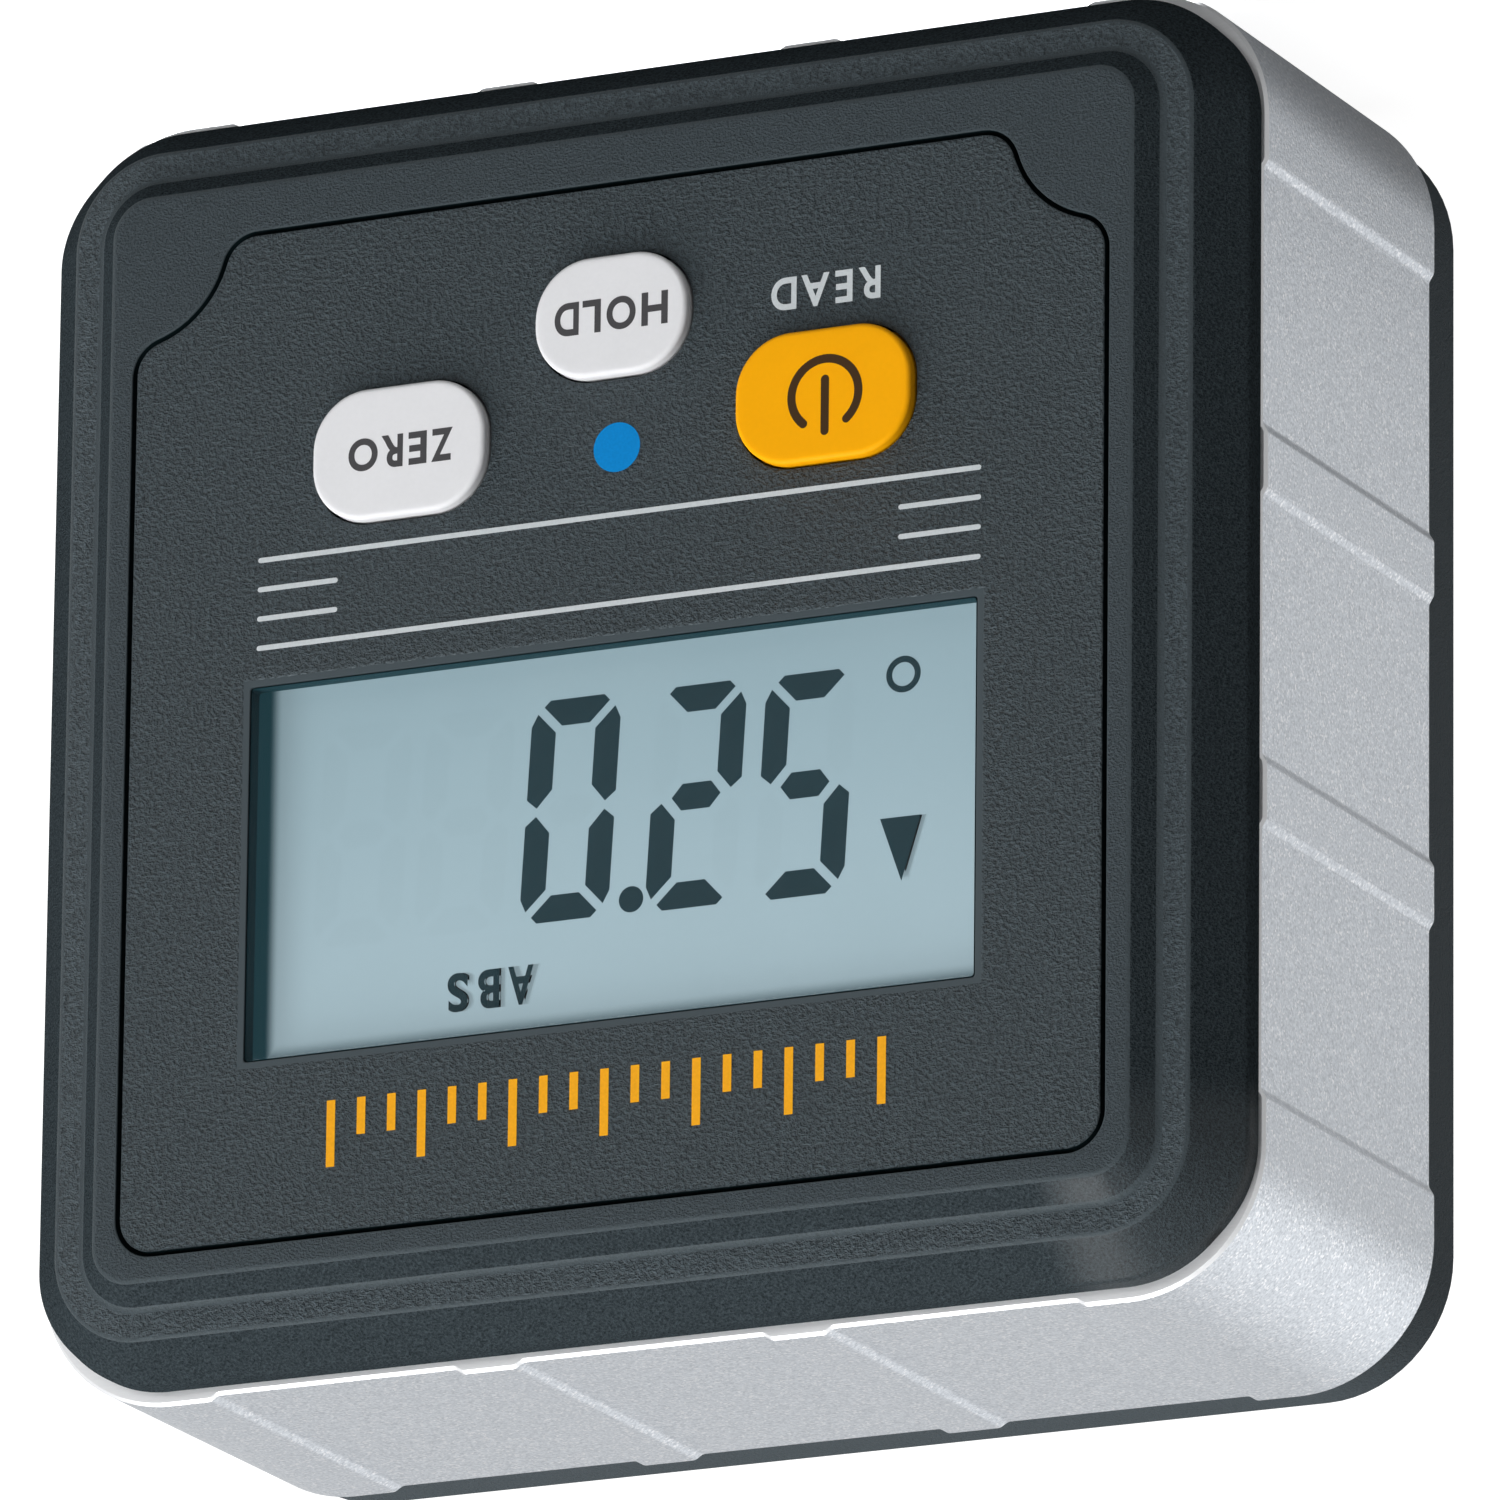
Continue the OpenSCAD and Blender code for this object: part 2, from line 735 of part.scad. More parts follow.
module rear_cover() {
    color(plastic) upright() difference() {
        union() {
            difference() {
                union() {
                    rear_form();
                    layer(-frame_depth, lip_l - frame_depth) rounded_square(lip_half);
                }
                layer(plate_z, lip_l - frame_depth + over) rounded_square(lip_in);
            }
            layer(plate_z, tub_z) square(2 * [bay_half_l + bay_wall, bay_half_w + bay_wall], center = true);
            for (at = corners) translate(at) layer(plate_z, split_z - post_gap / 2) circle(post_r);
        }
        door_slab(slide_gap, over);
        layer(back_z - over, bay_floor_z) square(2 * [bay_half_l, bay_half_w], center = true);
        for (y = [-cell_y, cell_y]) translate([bay_half_l - contact_t / 2, y])
            layer(bay_floor_z - over, tub_z + over)
                square([contact_t, tail_w] + 2 * [tail_gap, tail_gap], center = true);
        for (at = corners) translate(at) {
            layer(back_z - over, split_z) circle(screw_r + screw_gap);
            layer(back_z - over, screw_seat_z) circle(head_r + screw_gap);
        }
    }
}

module battery_door() {
    color(plastic) upright() difference() {
        intersection() {
            rear_form();
            door_slab(0, 0);
        }
        for (i = [1 : grip_count]) translate([i * grip_pitch - door_end, 0])
            layer(back_z - over, back_z + grip_depth) square([grip_w, grip_l], center = true);
    }
}

module upper_cell() {
    color([0.2, 0.22, 0.26]) upright() translate([0, cell_y, cell_z]) cell();
}

module lower_cell() {
    color([0.2, 0.22, 0.26]) upright() translate([0, -cell_y, cell_z]) mirror([1, 0, 0]) cell();
}

// A strip that joins both cells at one end, and a plate with a tail for each cell at the other
module contact_plates() {
    strip_w = 2 * cell_y + contact_w;
    color(steel) upright() {
        translate([contact_t / 2 - bay_half_l, 0, cell_z])
            cube([contact_t, strip_w, contact_h], center = true);
        for (y = [-cell_y, cell_y]) translate([bay_half_l - contact_t / 2, y, 0]) {
            translate([0, 0, cell_z]) cube([contact_t, contact_w, contact_h], center = true);
            layer(cell_z, board_back_z) square([contact_t, tail_w], center = true);
        }
    }
}

module contact_springs() {
    color(steel) upright() for (side = [-1, 1]) translate([side * spring_seat, -side * cell_y, cell_z])
        rotate([0, -side * 90, 0]) coil();
}

module case_screws() {
    color(steel) upright() for (at = corners) translate([at[0], at[1], screw_seat_z])
        screw(screw_r, screw_tip_z - screw_seat_z, head_r, head_h);
}

frame();
base_magnets();
front_cover();
face_panel();
window_lens();
display_gasket();
lcd_glass();
lcd_holder();
backlight_panel();
zebra_strip();
circuit_board();
controller_chip();
tilt_sensor();
radio_module();
crystal_can();
chip_parts();
switch_bodies();
power_plunger();
hold_plunger();
zero_plunger();
power_button();
hold_button();
zero_button();
board_screws();
rear_cover();
battery_door();
upper_cell();
lower_cell();
contact_plates();
contact_springs();
case_screws();
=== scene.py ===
import math

import bmesh
import bpy
from mathutils import Matrix, Vector
from mathutils.geometry import tessellate_polygon


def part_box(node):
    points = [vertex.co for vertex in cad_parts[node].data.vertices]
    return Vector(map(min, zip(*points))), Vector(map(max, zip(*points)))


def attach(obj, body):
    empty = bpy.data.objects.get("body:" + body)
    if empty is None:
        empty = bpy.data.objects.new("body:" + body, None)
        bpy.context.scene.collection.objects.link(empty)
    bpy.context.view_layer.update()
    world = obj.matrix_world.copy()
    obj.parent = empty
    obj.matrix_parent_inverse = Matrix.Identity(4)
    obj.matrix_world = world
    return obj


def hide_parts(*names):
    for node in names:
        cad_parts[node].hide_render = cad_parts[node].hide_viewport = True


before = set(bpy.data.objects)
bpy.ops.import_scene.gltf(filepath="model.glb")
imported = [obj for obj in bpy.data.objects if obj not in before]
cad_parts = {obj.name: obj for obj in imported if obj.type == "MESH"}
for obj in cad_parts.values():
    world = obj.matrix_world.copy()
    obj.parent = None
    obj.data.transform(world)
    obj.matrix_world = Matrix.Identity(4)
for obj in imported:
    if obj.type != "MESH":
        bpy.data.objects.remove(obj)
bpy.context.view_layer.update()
scene = bpy.context.scene
scene.view_settings.view_transform = "Standard"

# Pieces are drawn as seen from the front, in millimetres: x to the right, height above the middle
# of the face, and out towards the viewer from the frame's front end
mm = 0.001
frameLow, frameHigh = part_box("frame")
faceMid = (frameLow.z + frameHigh.z) / 2
planToObject = Matrix(((mm, 0, 0, 0), (0, 0, -mm, frameLow.y), (0, mm, 0, faceMid), (0, 0, 0, 1)))
objectToPlan = planToObject.inverted()


def planBox(node):
    ends = [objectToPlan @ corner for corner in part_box(node)]
    return [min(pair) for pair in zip(*ends)], [max(pair) for pair in zip(*ends)]


frameHalf = frameHigh.x / mm
frameDepth = (frameHigh.y - frameLow.y) / mm
pocketOut = planBox("face_panel")[0][2]
faceOut = planBox("face_panel")[1][2]
shelfOut = planBox("window_lens")[0][2]
displayOut = planBox("lcd_glass")[1][2]
keyOut = planBox("power_button")[1][2]
print("frame loaded, face", round(faceOut, 2), "mm in front of the frame")


# Shader tools

class Wire:  # a shader value: plain arithmetic on it adds the Math nodes
    def __init__(self, finish, socket):
        self.finish = finish
        self.socket = socket

    def maths(self, operation, *others):
        inputs = dict(enumerate((self, *others)))
        return self.finish.node("ShaderNodeMath", {"operation": operation}, inputs)

    def __add__(self, other):
        return self.maths("ADD", other)

    def __sub__(self, other):
        return self.maths("SUBTRACT", other)

    def __rsub__(self, other):
        return (self * -1) + other

    def __mul__(self, other):
        return self.maths("MULTIPLY", other)

    def __truediv__(self, other):
        return self.maths("DIVIDE", other)

    def __abs__(self):
        return self.maths("ABSOLUTE")

    def __pow__(self, other):
        return self.maths("POWER", other)

    __radd__ = __add__
    __rmul__ = __mul__

    def contrast(self, gain, middle=0.5):  # spreads a value round one half to a new middle
        return (self - 0.5) * gain + middle

    def between(self, low, high):  # 0 below low, 1 above high, smooth in the middle
        limits = {"Value": self, "From Min": low, "From Max": high}
        return self.finish.node("ShaderNodeMapRange", {"interpolation_type": "SMOOTHSTEP"}, limits)


class Nodes:  # the nodes of one shader tree, with node() for all that isn't plain arithmetic
    def __init__(self, tree):
        self.tree = tree

    def feed(self, socket, value):
        if isinstance(value, Wire):
            self.tree.links.new(value.socket, socket)
        else:
            socket.default_value = value

    def node(self, kind, settings=None, inputs=None, output=0):
        added = self.tree.nodes.new(kind)
        for key, value in (settings or {}).items():
            setattr(added, key, value)
        for key, value in (inputs or {}).items():
            self.feed(added.inputs[key], value)
        return Wire(self, added.outputs[output])

    def place(self, source="Object"):
        return self.node("ShaderNodeTexCoord", output=source)

    def axis(self, index, source="Object"):
        return self.node("ShaderNodeSeparateXYZ", inputs={0: self.place(source)}, output=index)

    def stretched(self, x, y, z):
        settings = {"operation": "MULTIPLY"}
        return self.node("ShaderNodeVectorMath", settings, {0: self.place(), 1: (x, y, z)})

    def noise(self, size, detail=2, roughness=0.5, stretch=(1, 1, 1)):  # size of a speck in mm
        inputs = {"Vector": self.stretched(*stretch), "Scale": 1 / (size * mm)}
        inputs.update({"Detail": detail, "Roughness": roughness})
        return self.node("ShaderNodeTexNoise", inputs=inputs)

    def cells(self, size, output="Color"):
        inputs = {"Vector": self.place(), "Scale": 1 / (size * mm)}
        return self.node("ShaderNodeTexVoronoi", inputs=inputs, output=output)

    def mix(self, factor, first, second):
        return self.node("ShaderNodeMix", {"data_type": "RGBA"}, {0: factor, 6: first, 7: second}, 2)

    def flecked(self, tone, colour, spread):  # a colour that varies by a share to both sides
        return self.mix(tone, shade(colour, 1 - spread), shade(colour, 1 + spread))

    def bump(self, height, depth):
        inputs = {"Height": height, "Distance": depth * mm, "Strength": 1.0}
        return self.node("ShaderNodeBump", inputs=inputs)


def shade(colour, share):
    return (*(channel * share for channel in colour), 1)


class Finish(Nodes):  # one material
    def __init__(self, name, **sockets):
        self.material = bpy.data.materials.new(name)
        self.material.use_nodes = True
        super().__init__(self.material.node_tree)
        self.shader = self.tree.nodes["Principled BSDF"]
        self.surface = self.tree.nodes["Material Output"].inputs["Surface"]
        self.paint(**sockets)

    def paint(self, **sockets):
        for key, value in sockets.items():
            self.feed(self.shader.inputs[key.replace("_", " ")], value)
        return self.material

    def cover(self, surface):  # a surface of its own in place of the usual shader
        self.feed(self.surface, surface)
        self.tree.nodes.remove(self.shader)
        return self.material


# Mesh tools

def arc(centre, radius, start, end, step=5):
    count = max(1, math.ceil(abs(end - start) / step))
    turns = [math.radians(start + (end - start) * i / count) for i in range(count + 1)]
    return [(centre[0] + radius * math.cos(t), centre[1] + radius * math.sin(t)) for t in turns]


def roundedRect(centre, width, height, radius, step=6):
    x, h = width / 2 - radius, height / 2 - radius
    corners = ((x, h, 0), (-x, h, 90), (-x, -h, 180), (x, -h, 270))
    outline = []
    for dx, dh, turn in corners:
        outline += arc((centre[0] + dx, centre[1] + dh), radius, turn, turn + 90, step)
    return outline


def soften(points, reach, steps=4):  # rounds the inner corners of an open line
    line = [points[0]]
    for before, corner, after in zip(points, points[1:], points[2:]):
        before, corner, after = Vector(before), Vector(corner), Vector(after)
        cut = min(reach, 0.45 * (before - corner).length, 0.45 * (after - corner).length)
        start = corner + cut * (before - corner).normalized()
        end = corner + cut * (after - corner).normalized()
        for i in range(steps + 1):
            t = i / steps
            line.append(tuple((1 - t) ** 2 * start + 2 * t * (1 - t) * corner + t * t * end))
    return line + [points[-1]]


class Shell:  # a mesh that grows from rings, bands and fills in plan millimetres
    def __init__(self):
        self.mesh = bmesh.new()

    def ring(self, outline, out):
        return [self.mesh.verts.new((x, h, out)) for x, h in outline]

    def band(self, first, second, slot=0):
        for i in range(len(first)):
            j = (i + 1) % len(first)
            face = self.mesh.faces.new((first[i], first[j], second[j], second[i]))
            face.material_index = slot

    def fill(self, outer, holes=(), slot=0):
        loops = [outer, *holes]
        corners = [vert for loop in loops for vert in loop]
        flat = [[Vector((vert.co.x, vert.co.y, 0)) for vert in loop] for loop in loops]
        for triangle in tessellate_polygon(flat):
            self.mesh.faces.new([corners[i] for i in triangle]).material_index = slot

    def slab(self, outline, low, high, holes=()):
        lower = [self.ring(loop, low) for loop in (outline, *holes)]
        upper = [self.ring(loop, high) for loop in (outline, *holes)]
        for first, second in zip(lower, upper):
            self.band(first, second)
        self.fill(lower[0], lower[1:])
        self.fill(upper[0], upper[1:])

    def done(self, name):
        bmesh.ops.remove_doubles(self.mesh, verts=self.mesh.verts, dist=1e-4)
        bmesh.ops.recalc_face_normals(self.mesh, faces=self.mesh.faces)
        mesh = bpy.data.meshes.new(name)
        self.mesh.to_mesh(mesh)
        self.mesh.free()
        mesh.transform(planToObject)
        return mesh


def linked(name, data):
    added = bpy.data.objects.new(name, data)
    scene.collection.objects.link(added)
    return added


def finalMesh(piece):  # what an object's modifiers, nodes or text make
    graph = bpy.context.evaluated_depsgraph_get()
    return bpy.data.meshes.new_from_object(piece.evaluated_get(graph))


def takeMesh(helper):  # the same, from an object that is not kept
    mesh = finalMesh(helper)
    bpy.data.objects.remove(helper)
    return mesh


def addPiece(name, mesh, materials, body, replaced=None, sharp=40):
    piece = linked(name, mesh)
    for material in materials:
        mesh.materials.append(material)
    mesh.polygons.foreach_set("use_smooth", [True] * len(mesh.polygons))
    mesh.set_sharp_from_angle(angle=math.radians(sharp))
    weighted = piece.modifiers.new("evenNormals", "WEIGHTED_NORMAL")
    weighted.keep_sharp = True
    mesh = finalMesh(piece)
    piece.modifiers.clear()
    piece.data = mesh
    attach(piece, body)
    if replaced:
        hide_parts(replaced)


# Moulded plastics: colour, speck size and depth in mm, roughness, contrast of the flecks, gloss

coverColour = (0.044, 0.058, 0.067)
bevelColour = (0.040, 0.052, 0.059)
grains = {
    "panelGrain": ((0.051, 0.068, 0.078), 0.20, 0.42, 0.40, 1.4, 0.50),
    # the ledge is the cover's own plastic painted lighter: painted light where the step above it is in
    # shade
    "ledgeGrain": ((0.055, 0.071, 0.081), 0.16, 0.20, 0.40, 1.4, 0.50),
    "fieldGrain": (coverColour, 0.12, 0.14, 0.45, 0.9, 0.36),
    "satinSide": (bevelColour, 0.12, 0.11, 0.50, 1.2, 0.0),
    "rubbedEdge": (bevelColour, 0.12, 0.03, 0.40, 0.5, 0.35),
    "shadedWall": ((0.005, 0.011, 0.013), 0.20, 0.01, 0.60, 0.2, 0.05),
    "rearGrain": (coverColour, 0.15, 0.10, 0.60, 0.5, 0.15),
}
polish = {"height": 0.36, "coat": 0.36, "coatRough": 0.34}


def mouldedGrain(name, quiet=None, worn=None):
    colour, speck, depth, rough, fleck, gloss = grains[name]
    finish = Finish(name, Specular_IOR_Level=gloss, Specular_Tint=(0.86, 0.96, 1, 1))
    if worn:  # a mask that is 1 where hands have polished the plastic
        finish.paint(Coat_Weight=worn(finish) * polish["coat"], Coat_Roughness=polish["coatRough"])
    height = finish.noise(speck, detail=3, roughness=0.65, stretch=(0.9, 1, 1.1)).contrast(1.9)
    if quiet:  # a mask that is 1 where the mould was polished
        calm = quiet(finish)
        height = height * (1 - calm) + calm * polish["height"]
    hue = finish.flecked(height.contrast(fleck), colour, 0.6)
    bump = finish.bump(height, depth)
    return finish.paint(Base_Color=hue, Roughness=height.contrast(0.2, rough), Normal=bump)


# Frame: an extrusion with raised ribs, bead blasted, with machined ends

frameSizes = {
    "corner": 6.5, "wall": 2.6, "flat": 12.6, "rib": 2.55, "sink": 0.25, "flank": 0.4, "chamfer": 0.15,
    "soft": 0.12, "cornerSteps": 24, "flatNormal": 0.98,
}
blastColours = {"pit": (0.475, 0.508, 0.551), "skin": (0.822, 0.86, 0.907), "glint": (0.98, 0.98, 1.0)}
# share of the metal's colour on the rib flanks of the upright sides: a painted shade line
flankShadeShare = 0.82


def blastedMetal(name, share):
    finish = Finish(name, Metallic=1.0)
    hues = {key: shade(colour, share) for key, colour in blastColours.items()}
    chance = finish.node("ShaderNodeSeparateColor", inputs={0: finish.cells(0.11)})
    glint = chance.between(0.86, 0.95)
    pits = finish.noise(0.15, detail=2, roughness=0.6)
    tone = pits.contrast(1.8, 0.35) + chance * 0.3
    colour = finish.mix(tone, hues["pit"], hues["skin"])
    colour = finish.mix(glint * 0.65, colour, hues["glint"])
    rough = 0.38 - glint * 0.10
    return finish.paint(Base_Color=colour, Roughness=rough, Normal=finish.bump(pits, 0.03))


def machinedMetal():
    finish = Finish("machinedMetal", Metallic=0.45)
    lines = finish.noise(0.08, detail=2, stretch=(0.15, 1, 1))
    colour = finish.mix(lines, (0.73, 0.74, 0.76, 1), (0.84, 0.85, 0.86, 1))
    rough = lines * 0.15 + 0.25
    return finish.paint(Base_Color=colour, Roughness=rough, Normal=finish.bump(lines, 0.003))


def frameStations():  # (x, height, outward x, outward height, distance past the corner centre)
    sizes = frameSizes
    straight = frameHalf - sizes["corner"]
    pitch = sizes["flat"] + sizes["rib"]
    side = [(-straight, sizes["corner"])]
    for i in (-1, 0, 1):
        for step, drop in ((-1, 0), (-1, 1), (1, 1), (1, 0)):
            along = i * pitch + step * (sizes["flat"] / 2 - drop * sizes["flank"])
            side.append((along, sizes["corner"] - drop * sizes["sink"]))
    side = soften(side + [(straight, sizes["corner"])], sizes["soft"], 3)
    stations = []
    for turn in range(4):
        spin = Matrix.Rotation(math.radians(90 * turn), 2)
        ahead = spin @ Vector((1, 0))
        for along, past in side:
            stations.append((*(spin @ Vector((straight, along))), *ahead, past))
        corner = spin @ Vector((straight, straight))
        for i in range(1, sizes["cornerSteps"]):
            lean = math.radians(90 * turn + 90 * i / sizes["cornerSteps"])
            stations.append((*corner, math.cos(lean), math.sin(lean), sizes["corner"]))
    return stations


def makeFrame():
    sizes = frameSizes
    stations = frameStations()
    chamfer = sizes["chamfer"]
    inside = sizes["corner"] - sizes["wall"]
    shell = Shell()

    def outer(trim, out):
        line = [(x + dx * (past - trim), h + dh * (past - trim)) for x, h, dx, dh, past in stations]
        return shell.ring(line, out)

    def inner(out):
        return shell.ring([(x + dx * inside, h + dh * inside) for x, h, dx, dh, _ in stations], out)

    skin, machined, flank = range(3)
    wall = [outer(0, -chamfer), outer(0, chamfer - frameDepth)]
    shell.band(*wall)
    for face in shell.mesh.faces:  # on the upright sides the flanks beside their ribs get a darker copy of the metal, a painted shade line
        face.normal_update()
        upright = abs(face.calc_center_median().y) < frameHalf - sizes["corner"]
        face.material_index = flank if upright and abs(face.normal.x) < sizes["flatNormal"] else skin
    shell.band(inner(0), inner(-frameDepth))
    for out, edge in zip((0, -frameDepth), wall):
        rim = outer(chamfer, out)
        shell.band(edge, rim, machined)
        shell.band(rim, inner(out), machined)
    looks = [blastedMetal("blastedMetal", 1), machinedMetal(), blastedMetal("ribFlankShade", flankShadeShare)]
    addPiece("aluFrame", shell.done("aluFrame"), looks, "case", "frame", 30)


makeFrame()
print("frame done")


# Face outlines, shared by the cover, the panel and the lens

faceSizes = {
    "cornerCentre": 23.5, "panelGap": 0.22, "panelCorner": 1.6, "panelRaise": 1.15,
    "notch": 4.95, "notchOut": 0.28, "notchRound": 1.55,
    "windowW": 35.86, "windowH": 17.36, "windowMid": 7.1, "windowCorner": 0.15,
    "keyCorner": 2.7, "keyGap": 0.15, "keyLip": 0.05, "lensLap": 1.25, "edge": 0.08, "border": 0.2,
}
keySizes = {
    "power_button": {"at": (-10.5, -11.7), "width": 8.7, "height": 6.2},
    "zero_button": {"at": (10.5, -11.7), "width": 8.7, "height": 6.2},
    "hold_button": {"at": (0, -16.7), "width": 7.64, "height": 5.7},
}
panelHalf = planBox("face_panel")[1][0]


def panelOutline(grow):
    sizes = faceSizes
    edge = panelHalf + grow
    low = panelHalf - sizes["panelRaise"]
    top = sizes["panelCorner"] + grow
    foot = sizes["notchRound"] + grow
    hollow = (panelHalf + sizes["notchOut"], -low - sizes["notchOut"])
    slant, rise = sizes["notch"] + sizes["notchRound"], sizes["notchRound"] + sizes["notchOut"]
    reach = math.sqrt(slant ** 2 - rise ** 2)
    footAt = (hollow[0] - reach, foot - low - grow)
    shoulder = (edge - foot, hollow[1] + reach)
    lean = math.degrees(math.atan2(hollow[1] - footAt[1], hollow[0] - footAt[0]))
    right = arc(footAt, foot, -90, lean)
    right += arc(hollow, sizes["notch"] - grow, 180 + lean, 90 - lean)
    right += arc(shoulder, foot, -90 - lean, 0)
    right += arc((edge - top, edge - top), top, 0, 90)
    return right + [(-x, h) for x, h in reversed(right)]


def windowOutline(grow):
    sizes = faceSizes
    width, height = sizes["windowW"] + 2 * grow, sizes["windowH"] + 2 * grow
    return roundedRect((0, sizes["windowMid"]), width, height, sizes["windowCorner"], 30)


def keyOutline(key, grow):
    sizes = keySizes[key]
    width, height = sizes["width"] + 2 * grow, sizes["height"] + 2 * grow
    return roundedRect(sizes["at"], width, height, faceSizes["keyCorner"] + grow)


# Front cover: a stepped rim swept round the face, and a shelf that carries the panel

rimSizes = {
    "profile": [(5.87, 0), (5.87, 1), (4.23, 3.14), (2.92, 3.14), (1.81, 4.14), (1.3, 4.14)],
    "rounding": 0.22, "path": 3.5, "cornerSteps": 28, "well": 24.11, "wellCorner": 0.6, "widen": 0.33,
    "innerStep": 3.3, "topStep": 4, "flatLean": 0.965, "edgeLeans": (0.78, 0.85), "worn": (20.5, 23),
}


def nodeGroup(name, kinds):  # a geometry tree, and the identifiers of its inputs by label
    tree = bpy.data.node_groups.new(name, "GeometryNodeTree")
    inputs = {}
    for label, kind in kinds.items():
        socket = tree.interface.new_socket(label, in_out="INPUT", socket_type="NodeSocket" + kind)
        inputs[label] = socket.identifier
    tree.interface.new_socket("Result", in_out="OUTPUT", socket_type="NodeSocketGeometry")
    return tree, inputs


def endGroup(tree, geometry, material):  # makes the geometry real, paints it and hands it out
    make, link = tree.nodes.new, tree.links.new
    real, painted = make("GeometryNodeRealizeInstances"), make("GeometryNodeSetMaterial")
    link(geometry, real.inputs[0])
    link(real.outputs[0], painted.inputs["Geometry"])
    link(material, painted.inputs["Material"])
    link(painted.outputs[0], make("NodeGroupOutput").inputs[0])


def nodesMesh(name, start, group, values):  # runs a geometry tree on a starting mesh
    tree, inputs = group
    helper = linked(name, start)
    modifier = helper.modifiers.new(name, "NODES")
    modifier.node_group = tree
    for label, value in values.items():
        modifier[inputs[label]] = value
    return takeMesh(helper)


def rimGroup():
    kinds = {"Profile": "Geometry", "Path Width": "Float", "Corner Radius": "Float", "Corner Steps": "Int"}
    tree, inputs = nodeGroup("sweptRim", {**kinds, "Finish": "Material"})
    make, link = tree.nodes.new, tree.links.new
    given = make("NodeGroupInput").outputs
    square, fillet = make("GeometryNodeCurvePrimitiveQuadrilateral"), make("GeometryNodeFilletCurve")
    upright, profile = make("GeometryNodeSetCurveNormal"), make("GeometryNodeMeshToCurve")
    sweep = make("GeometryNodeCurveToMesh")
    square.mode = "RECTANGLE"
    fillet.mode = "POLY"
    upright.mode = "Z_UP"
    link(given["Path Width"], square.inputs["Width"])
    link(given["Path Width"], square.inputs["Height"])
    link(square.outputs[0], fillet.inputs["Curve"])
    link(given["Corner Radius"], fillet.inputs["Radius"])
    link(given["Corner Steps"], fillet.inputs["Count"])
    link(fillet.outputs[0], upright.inputs["Curve"])
    link(given["Profile"], profile.inputs["Mesh"])
    link(upright.outputs[0], sweep.inputs["Curve"])
    link(profile.outputs[0], sweep.inputs["Profile Curve"])
    endGroup(tree, sweep.outputs[0], given["Finish"])
    return tree, inputs


def sweptRim(line, material):
    sizes = rimSizes
    profile = bpy.data.meshes.new("rimProfile")
    points = [(past - sizes["path"], -out, 0) for past, out in line]
    profile.from_pydata(points, [(i, i + 1) for i in range(len(points) - 1)], [])
    width = 2 * (faceSizes["cornerCentre"] + sizes["path"])
    values = {"Path Width": width, "Corner Radius": sizes["path"], "Corner Steps": sizes["cornerSteps"]}
    return nodesMesh("rim", profile, rimGroup(), {**values, "Finish": material})


def openLoop(mesh, out):  # the open edge of a swept rim at one height, in order round the face
    edge = {v for e in mesh.edges if e.is_boundary for v in e.verts if abs(v.co.z - out) < 1e-3}
    return sorted(edge, key=lambda v: math.atan2(v.co.y, v.co.x))


def upperCorner(finish):
    side = (finish.axis(0) / mm * -1).between(*rimSizes["worn"])
    return side * ((finish.axis(2) - faceMid) / mm).between(*rimSizes["worn"])


def paintRim(shell, flats, side, edge):  # each face gets its look by its slope and its step
    sizes = rimSizes
    for face in shell.mesh.faces:
        face.normal_update()
        level = face.calc_center_median().z
        lean = abs(face.normal.z)
        sharp = sizes["edgeLeans"][level > sizes["innerStep"]]
        if lean > sizes["flatLean"]:
            face.material_index = flats[level > sizes["topStep"]]
        else:
            face.material_index = edge if lean > sharp else side


def brokenEdge(edge):  # (trim, depth) of a flat border, a small round edge and the wall's top
    return (edge + faceSizes["border"], 0), (edge, 0), (edge * 0.3, edge * 0.3), (0, edge)


def makeCover():
    sizes = rimSizes
    field, ledge, side, edge, wall = range(5)
    looks = [mouldedGrain(name) for name in ("fieldGrain", "ledgeGrain")]
    looks.append(mouldedGrain("satinSide", worn=upperCorner))
    looks += [mouldedGrain(name) for name in ("rubbedEdge", "shadedWall")]
    shell = Shell()
    shell.mesh.from_mesh(sweptRim(soften(sizes["profile"], sizes["rounding"]), looks[field]))
    start = faceSizes["cornerCentre"] + sizes["profile"][2][0]
    span = sizes["profile"][1][0] - sizes["profile"][2][0]
    for vert in shell.mesh.verts:  # the outer bevel spreads sideways, to end flush with the frame
        past = max(0, abs(vert.co.x) - start) / span
        vert.co.x += math.copysign(past * sizes["widen"], vert.co.x)
    paintRim(shell, (ledge, field), side, edge)
    gap = faceSizes["panelGap"]
    steps = [(trim, faceOut - drop) for trim, drop in brokenEdge(faceSizes["edge"])] + [(0, pocketOut)]
    lip = [shell.ring(panelOutline(gap + trim), out) for trim, out in steps]
    shell.fill(openLoop(shell.mesh, faceOut), [lip[0]])
    for slot, first, second in zip((field, edge, edge, wall), lip, lip[1:]):
        shell.band(first, second, slot)
    holes = [windowOutline(faceSizes["lensLap"])]
    holes += [keyOutline(key, faceSizes["keyGap"]) for key in keySizes]
    shelf = [[shell.ring(hole, out) for hole in holes] for out in (pocketOut, shelfOut)]
    shell.fill(shell.ring(panelOutline(gap), pocketOut), shelf[0], wall)
    for first, second in zip(*shelf):
        shell.band(first, second, wall)
    well = roundedRect((0, 0), 2 * sizes["well"], 2 * sizes["well"], sizes["wellCorner"])
    shell.fill(shell.ring(well, shelfOut), shelf[1], wall)
    shell.band(shell.ring(well, shelfOut), shell.ring(well, 0), side)
    shell.fill(openLoop(shell.mesh, 0), [shell.ring(well, 0)], side)
    addPiece("frontCover", shell.done("frontCover"), looks, "case", "front_cover")


makeCover()
print("front cover done")


# Face panel, with its coarse grain polished away beside the window

panelSizes = {"polish": 0.30, "polishFade": 0.16}


